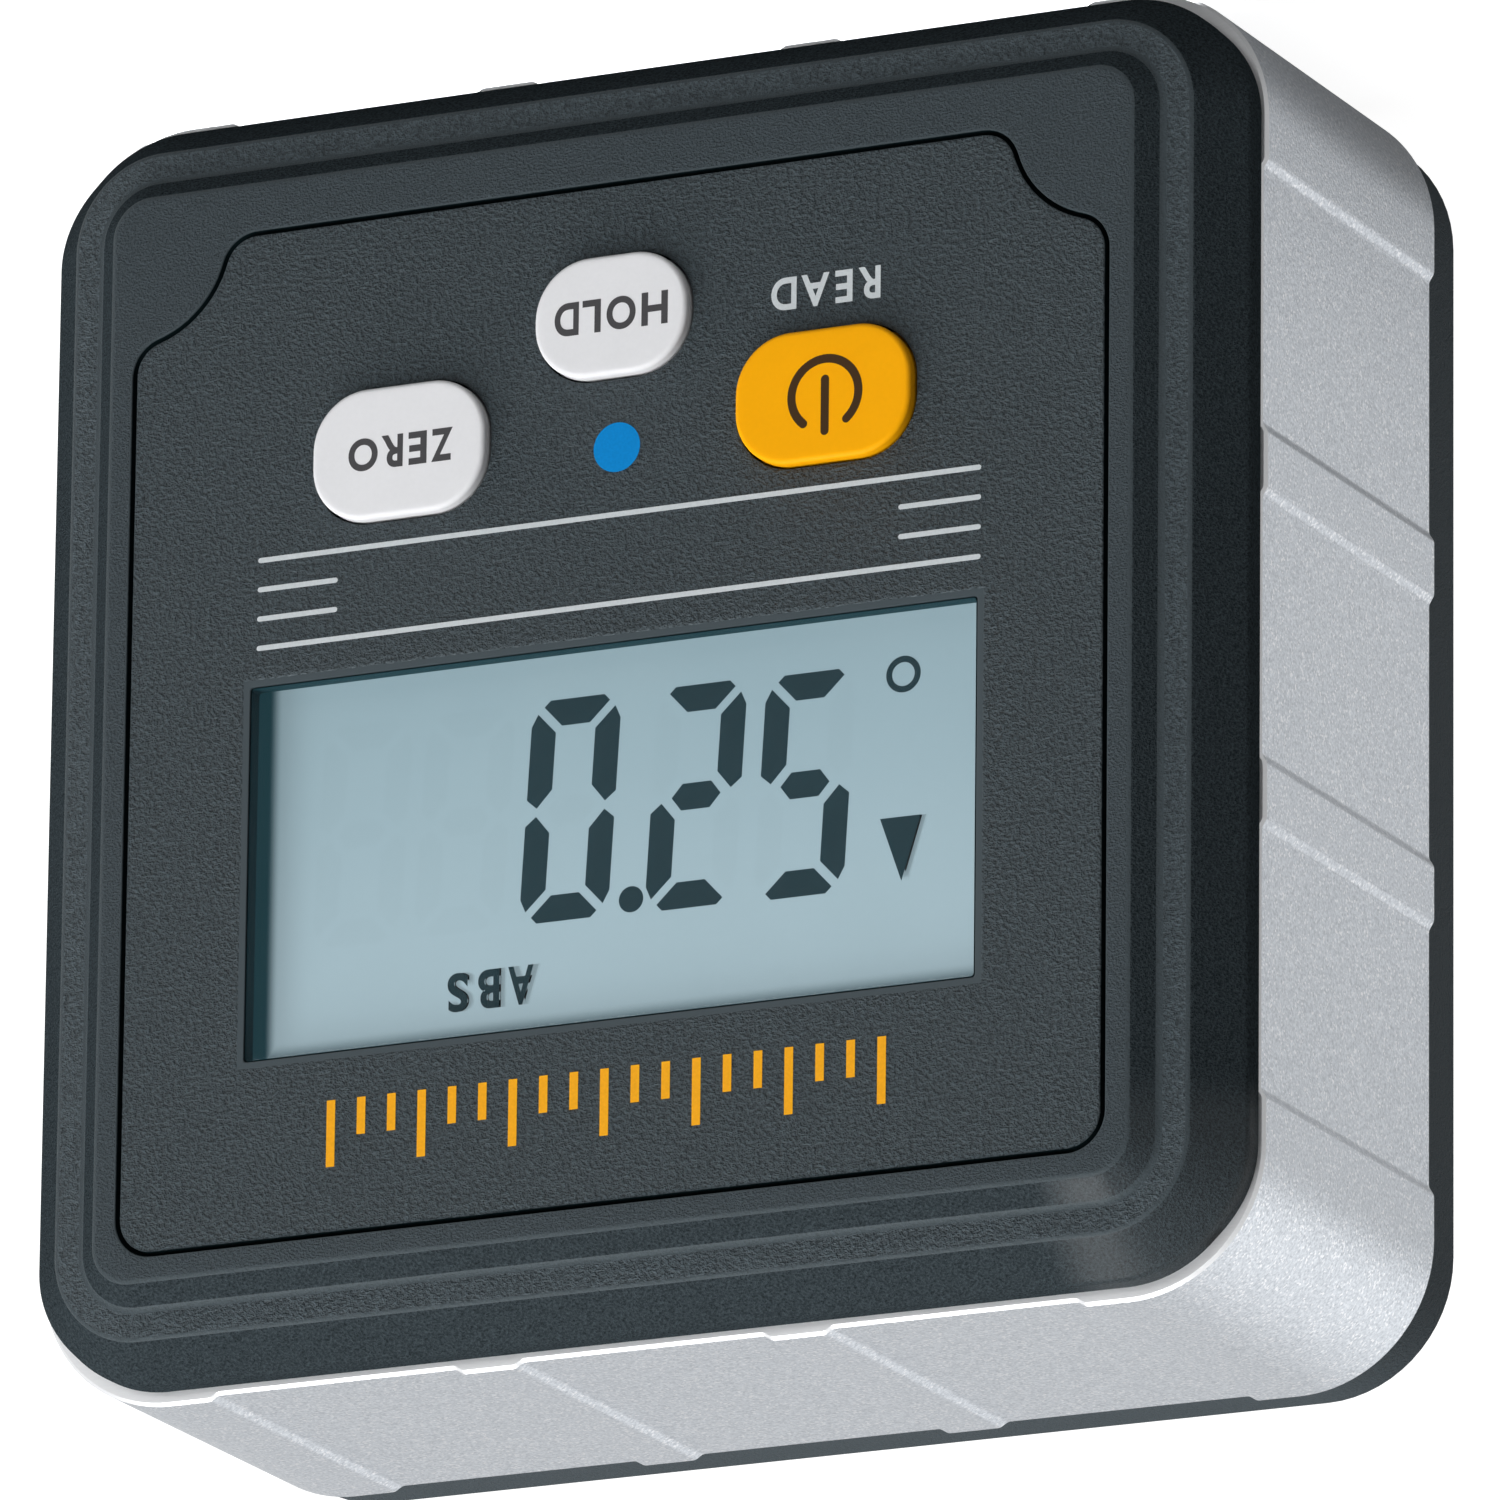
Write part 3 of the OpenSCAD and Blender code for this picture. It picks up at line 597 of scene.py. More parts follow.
def besideWindow(finish):
    sizes = faceSizes
    across = abs(finish.axis(0)) - sizes["windowW"] / 2 * mm
    along = abs(finish.axis(2) - (faceMid + sizes["windowMid"] * mm)) - sizes["windowH"] / 2 * mm
    away = across.maths("MAXIMUM", along)
    start = panelSizes["polish"] * mm
    return 1 - away.between(start, start + panelSizes["polishFade"] * mm)


def makePanel():
    shell = Shell()

    def loops(trim, out):
        outlines = [panelOutline(-trim), windowOutline(trim)]
        outlines += [keyOutline(key, faceSizes["keyLip"] + trim) for key in keySizes]
        return [shell.ring(outline, out) for outline in outlines]

    levels = [loops(trim, faceOut - drop) for trim, drop in brokenEdge(faceSizes["edge"])]
    levels.append(loops(0, pocketOut))
    shell.fill(levels[0][0], levels[0][1:])
    shell.fill(levels[-1][0], levels[-1][1:])
    for upper, lower in zip(levels, levels[1:]):
        for first, second in zip(upper, lower):
            shell.band(first, second, 1 if lower is levels[-1] else 0)
    looks = [mouldedGrain("panelGrain", besideWindow), mouldedGrain("shadedWall")]
    addPiece("facePanel", shell.done("facePanel"), looks, "case", "face_panel")


makePanel()
print("face panel done")


# Lens: clear acrylic that lets straight light through to the display

lensSizes = {"gap": 0.05, "edge": 0.06, "lap": 1.2, "mirror": (0.008, 0.5)}


def clearAcrylic():
    finish = Finish("clearAcrylic")
    facing = finish.node("ShaderNodeLayerWeight", inputs={"Blend": 0.5}, output="Facing")
    haze = finish.noise(4.0)
    gloss = finish.node("ShaderNodeBsdfGlossy", inputs={"Roughness": haze * 0.02 + 0.03})
    clear = finish.node("ShaderNodeBsdfTransparent", inputs={"Color": (0.97, 0.985, 0.99, 1)})
    straight, slanting = lensSizes["mirror"]
    factor = facing ** 5 * slanting + straight
    return finish.cover(finish.node("ShaderNodeMixShader", inputs={0: factor, 1: clear, 2: gloss}))


def shadedLensEdge():  # the sawn edge, painted dark teal as painted shade, seen through the front as a dim teal line
    finish = Finish("shadedLensEdge", Specular_IOR_Level=0.02)
    film = finish.noise(0.3)
    hue = finish.mix(film, (0.012, 0.040, 0.050, 1), (0.016, 0.052, 0.064, 1))
    return finish.paint(Base_Color=hue, Roughness=film * 0.2 + 0.4)


def makeLens():
    sizes = lensSizes
    shell = Shell()
    steps = ((-sizes["gap"] - sizes["edge"], faceOut), (-sizes["gap"], faceOut - sizes["edge"]),
             (-sizes["gap"], pocketOut), (sizes["lap"], pocketOut), (sizes["lap"], shelfOut))
    rings = [shell.ring(windowOutline(grow), out) for grow, out in steps]
    for slot, first, second in zip((0, 1, 0, 0), rings, rings[1:]):
        shell.band(first, second, slot)
    shell.fill(rings[0])
    shell.fill(rings[-1])
    looks = [clearAcrylic(), shadedLensEdge()]
    addPiece("windowLens", shell.done("windowLens"), looks, "case", "window_lens")


makeLens()
print("lens done")


# Display: two glasses, the marks that are switched on, their soft shadows and the faint idle marks

glassSizes = {"margin": 2.0, "ledge": 1.8, "sheet": 1.1, "edge": 0.08}
markSizes = {
    "width": 4.40, "height": 10.24, "bar": 1.22, "lean": 0.056, "mitre": 0.29, "tip": 0.29, "split": 0.19,
    "inset": (1.0, 1.5), "foot": (0.1, 0.2, 0.42), "thickness": 0.01, "sink": 0.005,
    "dot": (-0.01, 9.64, 0.60), "ring": (-13.26, 0.81, 0.84, 0.55),
    "arrow": [(-12.18, 7.34), (-14.15, 7.35), (-13.24, 10.28)],
}
digits = [("0", 4.96, 0.0), ("2", -1.24, 0.10), ("5", -6.58, 0.20)]
idleDigits = [(15.3, 0.0), (10.2, 0.0), (4.96, 0.0), (-1.24, 0.1), (-6.58, 0.2)]
litBars = {"0": "abcdef", "2": "abged", "5": "afgcd", "8": "abcdefg"}
displaySizes = {
    "shadowSides": (17.5, 18.15), "shadowTop": (14.35, 15.4), "brighter": (-2, 16),
    "reflect": 0.34, "glow": 0.59,
}


def displayFace():
    finish = Finish("displayFace", Specular_IOR_Level=0.2)
    rise = (finish.axis(2) - faceMid) / mm
    across = abs(finish.axis(0)) / mm
    # the display's colour is lighter towards the top
    glow = rise.between(*displaySizes["brighter"])
    cloud = finish.noise(7.0, detail=1)
    film = finish.noise(0.15, detail=1)
    colour = finish.mix(glow, (0.36, 0.49, 0.545, 1), (0.47, 0.605, 0.665, 1))
    colour = finish.mix(cloud.between(0.35, 0.7) * 0.25, colour, (0.42, 0.55, 0.60, 1))
    colour = finish.mix(film * 0.08, colour, (0.30, 0.42, 0.47, 1))
    # painted shadow: the window's edges shade the display in a dark teal band along both sides and the top
    border = across.between(*displaySizes["shadowSides"])
    border = border.maths("MAXIMUM", rise.between(*displaySizes["shadowTop"]))
    colour = finish.mix(border, colour, (0.016, 0.062, 0.078, 1))
    reflected = finish.mix(displaySizes["reflect"], (0, 0, 0, 1), colour)
    finish.paint(Emission_Color=colour, Emission_Strength=displaySizes["glow"])  # from the light guide behind it, and painted light that keeps the window's shadows on the display faint
    return finish.paint(Base_Color=reflected, Roughness=film * 0.15 + 0.4)


def markInk(name, colour, alpha):
    finish = Finish(name, Specular_IOR_Level=0.2, Alpha=alpha)
    film = finish.noise(0.3)
    return finish.paint(Base_Color=finish.flecked(film, colour, 0.1), Roughness=film * 0.1 + 0.4)


def barOutlines():  # one digit cell, u from its left edge and v from its top
    sizes = markSizes
    wide, tall, bar = sizes["width"], sizes["height"], sizes["bar"]
    mitre, tip, split = sizes["mitre"], sizes["tip"], sizes["split"]
    point, shoulder = sizes["inset"]
    nib, inner, outer = sizes["foot"]
    middle = tall / 2
    foot = middle - split
    near = tip + mitre
    top = [(near + tip, 0), (wide - near - tip, 0), (wide - near, tip), (wide - bar - mitre, bar),
           (bar + mitre, bar), (near, tip)]
    left = [(tip, near), (bar, bar + mitre), (bar, foot - bar / 2 - inner), (bar / 2 - nib, foot),
            (0, foot - outer), (0, near + 2 * tip)]
    upper, lower = middle - bar / 2, middle + bar / 2
    centre = [(point, middle), (shoulder, upper), (wide - shoulder, upper), (wide - point, middle),
              (wide - shoulder, lower), (shoulder, lower)]
    across = lambda line: [(wide - u, v) for u, v in line]
    down = lambda line: [(u, tall - v) for u, v in line]
    return {"a": top, "d": down(top), "g": centre, "f": left, "e": down(left), "b": across(left),
            "c": down(across(left))}


def digitMarks(digit, left, drop):
    marks = []
    for name, line in barOutlines().items():
        if name in litBars[digit]:
            marks.append([(left + markSizes["lean"] * v - u, v + drop) for u, v in line])
    return marks


def stroke(points, width):  # the outline of a line with round ends
    left, right = [], []
    for i, spot in enumerate(points):
        ahead = Vector(points[min(i + 1, len(points) - 1)]) - Vector(points[max(i - 1, 0)])
        side = Vector((-ahead.y, ahead.x)).normalized() * width / 2
        left.append(tuple(Vector(spot) + side))
        right.append(tuple(Vector(spot) - side))
    turn = lambda a, b: math.degrees(math.atan2(b[1] - a[1], b[0] - a[0]))
    first = turn(points[0], left[0])
    last = turn(points[-1], right[-1])
    start = arc(points[0], width / 2, first, first + 180, 20)
    end = arc(points[-1], width / 2, last, last + 180, 20)
    return start[1:-1] + right + end[1:-1] + left[::-1]


def circle(x, h, radius):
    return arc((x, h), radius, 0, 352, 8)


def wordMesh(word, box, low, high, weight):  # a word set into the box (left, bottom, right, top)
    curve = bpy.data.curves.new(word, "FONT")
    curve.body = word
    curve.offset = weight
    curve.extrude = 0.5
    helper = linked(word, curve)
    bpy.context.view_layer.update()
    mesh = takeMesh(helper)
    spots = [v.co for v in mesh.vertices]
    start = [min(spot[i] for spot in spots) for i in range(3)]
    end = [max(spot[i] for spot in spots) for i in range(3)]
    goal = ((box[0], box[2]), (box[1], box[3]), (low, high))
    for spot in spots:
        for i in range(3):
            share = (spot[i] - start[i]) / (end[i] - start[i])
            spot[i] = goal[i][0] + share * (goal[i][1] - goal[i][0])
    return mesh


def setLetters(shell, line, low, high):  # each letter has its own left and right end
    for letter, start, end in line["letters"]:
        box = (start, line["foot"], end, line["top"])
        shell.mesh.from_mesh(wordMesh(letter, box, low, high, line["weight"]))


absLine = {
    "letters": [("A", 4.77, 6.02), ("B", 6.45, 7.50), ("S", 8.02, 9.02)],
    "foot": 12.09, "top": 13.89, "weight": 0.025,
}
shadowSizes = {
    "reach": (-0.36, 0.02), "copies": 4, "alpha": 0.025, "lift": 0.0012, "level": (0.001, 0.0014),
}
idleSizes = {"alpha": 0.005, "level": (0.0002, 0.0006)}


def makeGlass():
    sizes = glassSizes
    shell = Shell()
    backOut = displayOut - sizes["sheet"]
    ledge = lambda h: sizes["ledge"] if h > faceSizes["windowMid"] else 0
    front = []
    for trim, out in ((sizes["edge"], displayOut), (0, displayOut - sizes["edge"]), (0, backOut)):
        line = windowOutline(sizes["margin"] - trim)
        front.append(shell.ring([(x, h + ledge(h)) for x, h in line], out))
    rear = [shell.ring(windowOutline(sizes["margin"]), out) for out in (backOut, backOut - sizes["sheet"])]
    shell.fill(front[0])
    shell.band(front[0], front[1])
    shell.band(front[1], front[2])
    shell.fill(front[2], [rear[0]])
    shell.band(*rear)
    shell.fill(rear[1])
    glass = shell.done("displayGlass")
    addPiece("displayGlass", glass, [displayFace()], "case", "lcd_glass")


def addMarks(name, shell, ink):
    addPiece(name, shell.done(name), [ink], "case")


def makeMarks():
    low, high = displayOut - markSizes["sink"], displayOut + markSizes["thickness"]
    marks = Shell()
    for digit, left, drop in digits:
        for line in digitMarks(digit, left, drop):
            marks.slab(line, low, high)
    x, h, radius, hole = markSizes["ring"]
    marks.slab(circle(x, h, radius), low, high, [circle(x, h, hole)])
    marks.slab(circle(*markSizes["dot"]), low, high)
    marks.slab(markSizes["arrow"], low, high)
    setLetters(marks, absLine, low, high)
    addMarks("displayMarks", marks, markInk("displayMark", (0.010, 0.036, 0.046), 1.0))


def makeShadows():  # faint copies of the marks, each a little further off
    sizes = shadowSizes
    soft = Shell()
    for i in range(1, sizes["copies"] + 1):
        dx, dh = (i / sizes["copies"] * reach for reach in sizes["reach"])
        lift = displayOut + sizes["lift"] * (sizes["copies"] - i)
        level = [lift + rise for rise in sizes["level"]]
        soft.slab([(x + dx, h + dh) for x, h in markSizes["arrow"]], *level)
        shifted = [(letter, start + dx, end + dx) for letter, start, end in absLine["letters"]]
        setLetters(soft, {**absLine, "letters": shifted}, *level)
    addMarks("markShadows", soft, markInk("markShadow", (0.10, 0.16, 0.18), sizes["alpha"]))


def makeIdle():
    idle = Shell()
    level = [displayOut + rise for rise in idleSizes["level"]]
    for left, drop in idleDigits:
        for line in digitMarks("8", left, drop):
            idle.slab(line, *level)
    addMarks("idleMarks", idle, markInk("idleMark", (0.16, 0.22, 0.25), idleSizes["alpha"]))


makeGlass()
makeMarks()
makeShadows()
makeIdle()
print("display done")


# Print on the face: rules, one word, a scale of plain ticks and a round spot

printSizes = {
    "longRules": (-3.37, -7.48), "shortRules": (-4.74, -6.11), "rule": 0.24, "spot": (-0.2, -10.6, 1.15),
    "left": (-17.98, -14.2), "right": (13.75, 17.53), "rise": 0.012, "sink": 0.05,
}
readLine = {
    "letters": [("R", -13.11, -12.02), ("E", -11.74, -10.89), ("A", -10.60, -9.22), ("D", -8.99, -7.75)],
    "foot": -17.45, "top": -15.94, "weight": 0.022,
}
tickSizes = {"Count": 19, "Pitch": 1.5, "Width": 0.42, "Length": 1.7, "Long Every": 3, "Thickness": 0.06}
tickBase = 18.0
longerBy = 0.8


def printInk(name, colour, fleck=0.12):
    finish = Finish(name, Specular_IOR_Level=0.12)
    speck = finish.noise(0.12, detail=2)
    grain = finish.noise(0.30, detail=2, stretch=(0.75, 1, 1.15))
    ink = finish.flecked(speck, colour, fleck)
    return finish.paint(Base_Color=ink, Roughness=speck * 0.2 + 0.4, Normal=finish.bump(grain, 0.012))


def tickGroup():
    kinds = {label: "Int" if isinstance(size, int) else "Float" for label, size in tickSizes.items()}
    tree, inputs = nodeGroup("tickScale", {"Start": "Geometry", **kinds, "Ink": "Material"})
    make, link = tree.nodes.new, tree.links.new
    given = make("NodeGroupInput").outputs

    def fed(node, values):
        for socket, value in zip(node.inputs, values):
            if isinstance(value, bpy.types.NodeSocket):
                link(value, socket)
            else:
                socket.default_value = value
        return node.outputs[0]

    def maths(operation, *values):
        node = make("ShaderNodeMath")
        node.operation = operation
        return fed(node, values)

    def vector(*values):
        return fed(make("ShaderNodeCombineXYZ"), values)

    line, cube = make("GeometryNodeMeshLine"), make("GeometryNodeMeshCube")
    place, shift = make("GeometryNodeInstanceOnPoints"), make("GeometryNodeSetPosition")
    index = make("GeometryNodeInputIndex").outputs[0]
    longOne = maths("LESS_THAN", maths("MODULO", index, given["Long Every"]), 0.5)
    length = maths("ADD", 1, maths("MULTIPLY", longOne, longerBy))
    tall = maths("MULTIPLY", given["Length"], length)
    middle = maths("MULTIPLY", maths("SUBTRACT", given["Count"], 1), given["Pitch"])
    link(given["Count"], line.inputs["Count"])
    link(vector(given["Pitch"], 0, 0), line.inputs["Offset"])
    link(vector(maths("MULTIPLY", middle, -0.5), 0, 0), line.inputs["Start Location"])
    link(line.outputs[0], shift.inputs["Geometry"])
    link(vector(0, maths("MULTIPLY", tall, 0.5), 0), shift.inputs["Offset"])
    link(shift.outputs[0], place.inputs["Points"])
    link(cube.outputs["Mesh"], place.inputs["Instance"])
    link(vector(given["Width"], tall, given["Thickness"]), place.inputs["Scale"])
    endGroup(tree, place.outputs[0], given["Ink"])
    return tree, inputs


def makePrint():
    sizes = printSizes
    low, high = faceOut - sizes["sink"], faceOut + sizes["rise"]
    shell = Shell()
    spans = [(sizes["left"][0], sizes["right"][1], h) for h in sizes["longRules"]]
    for h in sizes["shortRules"]:
        spans += [(*sizes["left"], h), (*sizes["right"], h)]
    for start, stop, h in spans:
        shell.slab(stroke([(start, h), (stop, h)], sizes["rule"]), low, high)
    setLetters(shell, readLine, low, high)
    pale = printInk("paleInk", (0.55, 0.59, 0.61))
    addPiece("faceRules", shell.done("faceRules"), [pale], "case")

    orange = printInk("orangeInk", (0.84, 0.38, 0.015))
    start = bpy.data.meshes.new("tickStart")
    ticks = nodesMesh("tickScale", start, tickGroup(), {**tickSizes, "Ink": orange})
    ticks.transform(Matrix.Translation((0, tickBase, high - tickSizes["Thickness"] / 2)))
    ticks.transform(planToObject)
    ticks.materials.clear()
    addPiece("tickScale", ticks, [orange], "case")

    spot = Shell()
    spot.slab(circle(*sizes["spot"]), low, high)
    blue = printInk("blueInk", (0.003, 0.22, 0.58))
    addPiece("blueSpot", spot.done("blueSpot"), [blue], "case")


makePrint()
print("print done")


# Keys: soft caps with a rounded shoulder, a flange behind the shelf, and their labels

capSizes = {
    "grow": -0.05, "shoulder": 0.24, "crown": 0.22, "steps": 6, "labelRise": 0.008, "labelDeep": 0.04,
    "flange": 0.8, "flangeT": 0.9, "play": 0.1,
}
keyLines = {
    "hold_button": {
        "letters": [("H", -2.87, -1.57), ("O", -1.28, 0.16), ("L", 0.45, 1.36), ("D", 1.54, 2.74)],
        "foot": -17.47, "top": -15.92, "weight": 0.030,
    },
    "zero_button": {
        "letters": [("Z", 7.75, 8.80), ("E", 9.04, 9.95), ("R", 10.23, 11.31), ("O", 11.49, 12.95)],
        "foot": -12.41, "top": -10.88, "weight": 0.030,
    },
}
powerSign = {"at": (-10.66, -11.63), "radius": 1.64, "stroke": 0.40, "gap": 40, "bar": (-0.69, 1.70)}


def keyPlastic(name, colour):
    finish = Finish(name, Specular_IOR_Level=0.1)
    skin = finish.noise(0.22, detail=2)
    cloud = finish.noise(2.5, detail=1)
    hue = finish.flecked(skin * 0.5 + cloud * 0.5, colour, 0.05)
    return finish.paint(Base_Color=hue, Roughness=skin * 0.15 + 0.4, Normal=finish.bump(skin, 0.004))


def capMesh(key, name):
    sizes = capSizes
    top = keyOut - 2 * sizes["labelRise"]
    under = shelfOut - sizes["play"]
    shell = Shell()
    rings = [shell.ring(keyOutline(key, sizes["flange"]), out) for out in (under - sizes["flangeT"], under)]
    rings.append(shell.ring(keyOutline(key, sizes["grow"]), under))
    for i in range(sizes["steps"] + 1):
        lean = math.radians(90 * i / sizes["steps"])
        trim = sizes["shoulder"] * (1 - math.cos(lean)) - sizes["grow"]
        rings.append(shell.ring(keyOutline(key, -trim), top - sizes["crown"] * (1 - math.sin(lean))))
    rings.append(shell.ring(keyOutline(key, sizes["grow"] - sizes["shoulder"] - faceSizes["border"]), top))
    for first, second in zip(rings, rings[1:]):
        shell.band(first, second)
    shell.fill(rings[0])
    shell.fill(rings[-1])
    return shell.done(name)


def makeKeys():
    orange = keyPlastic("orangeKey", (0.95, 0.41, 0.002))
    white = keyPlastic("whiteKey", (0.76, 0.765, 0.785))
    grey = printInk("greyInk", (0.065, 0.064, 0.068), 0.1)
    brown = printInk("brownInk", (0.050, 0.026, 0.010), 0.1)
    high = keyOut - capSizes["labelRise"]
    low = high - capSizes["labelDeep"]
    looks = {
        "power_button": ("powerCap", "power_key", "orange_key", orange),
        "hold_button": ("holdCap", "hold_key", "white_key", white),
        "zero_button": ("zeroCap", "zero_key", "white_key", white),
    }
    for key, (name, body, slot, finish) in looks.items():
        addPiece(name, capMesh(key, name), [finish], body, key)
        label = Shell()
        if key in keyLines:
            setLetters(label, keyLines[key], low, high)
        else:
            x, h = powerSign["at"]
            gap = powerSign["gap"]
            bend = arc((x, h), powerSign["radius"], 90 + gap, 450 - gap, 6)
            label.slab(stroke(bend, powerSign["stroke"]), low, high)
            ends = [(x, h + rise) for rise in powerSign["bar"]]
            label.slab(stroke(ends, powerSign["stroke"]), low, high)
        ink = grey if key in keyLines else brown
        addPiece(name + "Label", label.done(name + "Label"), [ink], body)


makeKeys()
print("keys done")


# Rear cover and battery door: the CAD shapes with their edges broken

rearSizes = {"rear_cover": 0.22, "battery_door": 0.16, "weld": 2e-6, "flat": 1, "sharp": 28}


def brokenEdges(node, name, material, body):
    copy = bmesh.new()
    copy.from_mesh(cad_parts[node].data)
    bmesh.ops.remove_doubles(copy, verts=copy.verts, dist=rearSizes["weld"])
    flat = math.radians(rearSizes["flat"])
    bmesh.ops.dissolve_limit(copy, angle_limit=flat, verts=copy.verts, edges=copy.edges)
    mesh = bpy.data.meshes.new(name)
    copy.to_mesh(mesh)
    copy.free()
    mesh.materials.clear()
    helper = linked(name + "Raw", mesh)
    bevel = helper.modifiers.new("edges", "BEVEL")
    bevel.width = rearSizes[node] * mm
    bevel.segments = 3
    bevel.limit_method = "ANGLE"
    bevel.angle_limit = math.radians(rearSizes["sharp"])
    addPiece(name, takeMesh(helper), [material], body, node, 60)


def makeRear():
    grain = mouldedGrain("rearGrain")
    brokenEdges("rear_cover", "rearCover", grain, "case")
    brokenEdges("battery_door", "batteryDoor", grain, "door")


makeRear()
print("rear cover and door done")


# Inner pieces keep their CAD shapes and get finishes of their own

def plainFinish(name, colour, rough, metal, speck, depth, spread):
    finish = Finish(name, Metallic=metal)
    grain = finish.noise(speck, detail=3)
    hue = finish.flecked(grain, colour, spread)
    return finish.paint(Base_Color=hue, Roughness=grain * 0.15 + rough, Normal=finish.bump(grain, depth))


sleeveEnds = (14.0, 14.1), (21.6, 21.7)  # where the copper band and the bare tip of a cell start


def sleeveFinish():
    finish = Finish("cellSleeve", Coat_Weight=0.4)
    film = finish.noise(0.6, detail=2)
    band, tip = ((abs(finish.axis(0)) / mm).between(*ends) for ends in sleeveEnds)
    hue = finish.mix(band, (0.02, 0.024, 0.032, 1), (0.50, 0.34, 0.12, 1))
    hue = finish.mix(tip, hue, (0.72, 0.72, 0.72, 1))
    return finish.paint(Base_Color=hue, Metallic=tip * 0.6 + band * 0.4, Roughness=film * 0.15 + 0.25)


def boardFinish():
    finish = Finish("boardLaminate")
    weave = finish.noise(0.5, detail=2, stretch=(1, 1, 0.3))
    tracks = finish.cells(1.6, "Distance")
    hue = finish.mix(tracks.between(0.3, 0.34), (0.012, 0.10, 0.045, 1), (0.02, 0.16, 0.07, 1))
    return finish.paint(Base_Color=hue, Roughness=weave * 0.15 + 0.3, Normal=finish.bump(weave, 0.01))


# Nodes, colour, roughness, metal, speck size and depth in mm, spread of the colour
innerLooks = {
    "magnetPlating": ("base_magnets", (0.72, 0.72, 0.70), 0.22, 1.0, 0.5, 0.003, 0.06),
    "gasketFoam": ("display_gasket", (0.028, 0.028, 0.029), 0.8, 0.0, 0.25, 0.05, 0.4),
    "holderPlastic": ("lcd_holder switch_bodies", (0.02, 0.02, 0.022), 0.5, 0.0, 0.2, 0.006, 0.15),
    "lightGuide": ("backlight_panel", (0.82, 0.84, 0.85), 0.3, 0.0, 1.2, 0.002, 0.04),
    "stripRubber": ("zebra_strip", (0.50, 0.26, 0.28), 0.6, 0.0, 0.2, 0.01, 0.25),
    "chipResin": ("controller_chip tilt_sensor", (0.022, 0.022, 0.023), 0.55, 0.0, 0.12, 0.006, 0.2),
    "tinnedCan": ("radio_module crystal_can", (0.62, 0.62, 0.62), 0.3, 1.0, 0.6, 0.003, 0.08),
    "chipCeramic": ("chip_parts", (0.36, 0.25, 0.15), 0.45, 0.0, 0.3, 0.004, 0.2),
    "plungerPlastic": (
        "power_plunger hold_plunger zero_plunger", (0.66, 0.66, 0.66), 0.4, 0.0, 0.3, 0.003, 0.06),
    "zincScrew": ("board_screws case_screws", (0.58, 0.58, 0.60), 0.3, 1.0, 0.3, 0.003, 0.1),
    "nickelSpring": ("contact_plates contact_springs", (0.68, 0.67, 0.65), 0.25, 1.0, 0.4, 0.002, 0.08),
}


def makeInner():
    looks = {"circuit_board": boardFinish()}
    looks["upper_cell"] = looks["lower_cell"] = sleeveFinish()
    for name, (nodes, *values) in innerLooks.items():
        material = plainFinish(name, *values)
        looks.update({node: material for node in nodes.split()})
    for node, material in looks.items():
        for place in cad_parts[node].material_slots:
            place.material = material


makeInner()
print("inner pieces done")


# Camera: the gauge is shown upside down, so the camera is turned by half a turn

viewSizes = {
    "place": (-0.344272, -0.709570, 0.258843), "lens": 438.65, "sensor": 36.0, "reach": 20,
    "right": (-0.9012567, 0.43315437, -0.01066115), "up": (-0.11155528, -0.25574646, -0.96028598),
    "back": (-0.41867862, -0.86427487, 0.27881386),
}


def makeCamera():
    data = bpy.data.cameras.new("photoView")
    data.lens = viewSizes["lens"]
    data.sensor_width = viewSizes["sensor"]
    data.clip_end = viewSizes["reach"]
    camera = linked("photoView", data)
    axes = Matrix([viewSizes[key] for key in ("right", "up", "back")]).transposed().to_4x4()
    camera.matrix_world = Matrix.Translation(viewSizes["place"]) @ axes
    scene.camera = camera


# Floor, world and lamps

floorSizes = {
    "half": 3.0, "drop": 0.0002, "paper": 0.30, "seen": 0.93, "mirrored": (0.09, 0.43, 8.0),
    "shade": (0.032, 0.048, 0.062, 0.010), "strip": (0.026, -0.0078, 0.0012, 0.0008),
}
worldLevels = {"seen": 1.0, "mirrored": (0.69, 1.15), "front": 0.6, "light": (0.12, 0.70)}
worldFades = {"side": (-0.35, 0.35), "front": (-0.1, 0.5), "rear": (0.1, 0.7)}
lamps = {
    "overhead": {"at": (0.30, -0.32, 0.78), "size": (0.6, 0.6), "power": 6.0, "mirrored": True},
    "faceKey": {"at": (0.33, -0.69, 0.50), "size": (0.4, 0.4), "power": 4.9, "mirrored": False},
    "cornerGlint": {"at": (-0.34, -0.51, 0.70), "size": (0.12, 0.12), "power": 0.28, "mirrored": True},
}


def rayKinds(tree):  # rays from the camera, and rays from a mirror or through glass
    path = tree.tree.nodes.new("ShaderNodeLightPath").outputs
    kinds = [Wire(tree, path["Is " + name + " Ray"]) for name in ("Camera", "Glossy", "Transmission")]
    return kinds[0], kinds[1].maths("MAXIMUM", kinds[2])


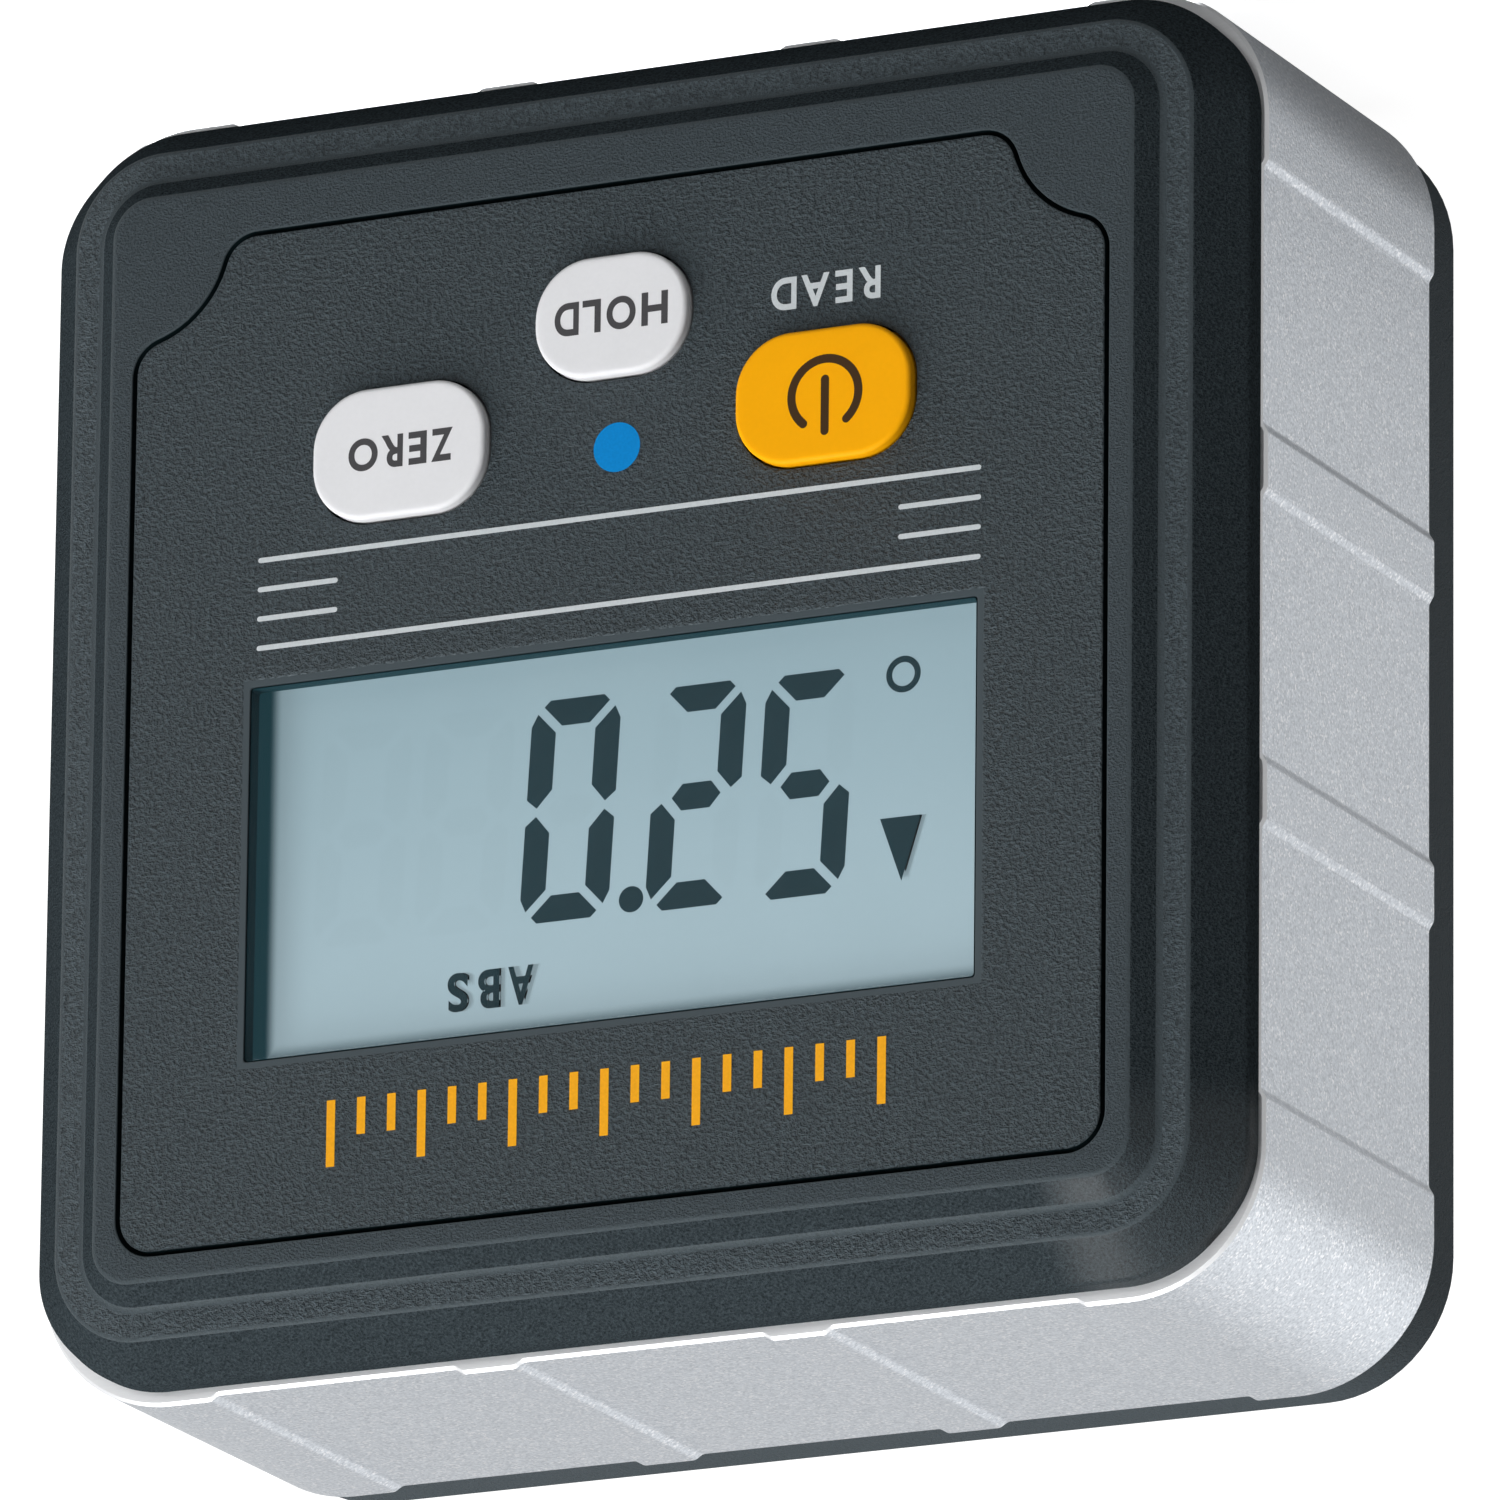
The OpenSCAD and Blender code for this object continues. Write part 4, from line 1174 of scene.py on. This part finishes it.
def makeFloor():
    half, drop = floorSizes["half"], floorSizes["drop"]
    mesh = bpy.data.meshes.new("floor")
    corners = [(x * half, y * half, -drop) for x, y in ((-1, -1), (1, -1), (1, 1), (-1, 1))]
    mesh.from_pydata(corners, [], [(0, 1, 2, 3)])
    finish = Finish("paperFloor")
    paper = finish.node("ShaderNodeBsdfDiffuse", inputs={"Color": (*[floorSizes["paper"]] * 3, 1)})

    def away(half, middle, reach, fade):  # 0 on a patch of the floor, 1 past its faded border
        across = abs(finish.axis(0)) - half
        along = abs(finish.axis(1) - middle) - reach
        return across.maths("MAXIMUM", along).between(0, fade)

    dim, plain, bright = floorSizes["mirrored"]
    mirrored = away(*floorSizes["shade"]) * (plain - dim) + dim  # the gauge's own shade is dim
    strip = 1 - away(*floorSizes["strip"])  # a painted reflection: a floor strip that glows in mirrors only and brightens the frame's front end
    camera, mirror = rayKinds(finish)
    strength = camera * floorSizes["seen"] + mirror * (mirrored + strip * bright)
    glow = finish.node("ShaderNodeEmission", inputs={"Strength": strength})
    surface = finish.node("ShaderNodeAddShader", inputs={0: paper, 1: glow})
    mesh.materials.append(finish.cover(surface))
    floor = linked("floor", mesh)


def makeWorld():
    world = bpy.data.worlds.new("studio")
    world.use_nodes = True
    scene.world = world
    sky = Nodes(world.node_tree)
    camera, mirror = rayKinds(sky)
    right, left = worldLevels["mirrored"]
    side = (sky.axis(0, "Generated") * -1).between(*worldFades["side"])
    front = (sky.axis(1, "Generated") * -1).between(*worldFades["front"])
    rear = sky.axis(1, "Generated").between(*worldFades["rear"])
    brightness = side * (left - right) + right
    brightness = brightness * (1 - front * (1 - worldLevels["front"]))  # dimmer in front of the gauge
    ahead, behind = worldLevels["light"]
    light = rear * (behind - ahead) + ahead  # only the sky behind the gauge lights its back
    level = camera * worldLevels["seen"] + mirror * brightness + (1 - camera - mirror) * light
    background = world.node_tree.nodes["Background"]
    background.inputs["Color"].default_value = (1, 1, 1, 1)
    sky.feed(background.inputs["Strength"], level)


def makeLamps():
    target = Vector((0, 0, faceMid))
    for name, look in lamps.items():
        data = bpy.data.lights.new(name, "AREA")
        data.shape = "RECTANGLE"
        data.size, data.size_y = look["size"]
        data.energy = look["power"]
        lamp = linked(name, data)
        place = Vector(look["at"])
        turn = (target - place).to_track_quat("-Z", "Y").to_matrix().to_4x4()
        lamp.matrix_world = Matrix.Translation(place) @ turn
        lamp.visible_glossy = look["mirrored"]


makeCamera()
makeFloor()
makeWorld()
makeLamps()
print("camera, floor and light done")
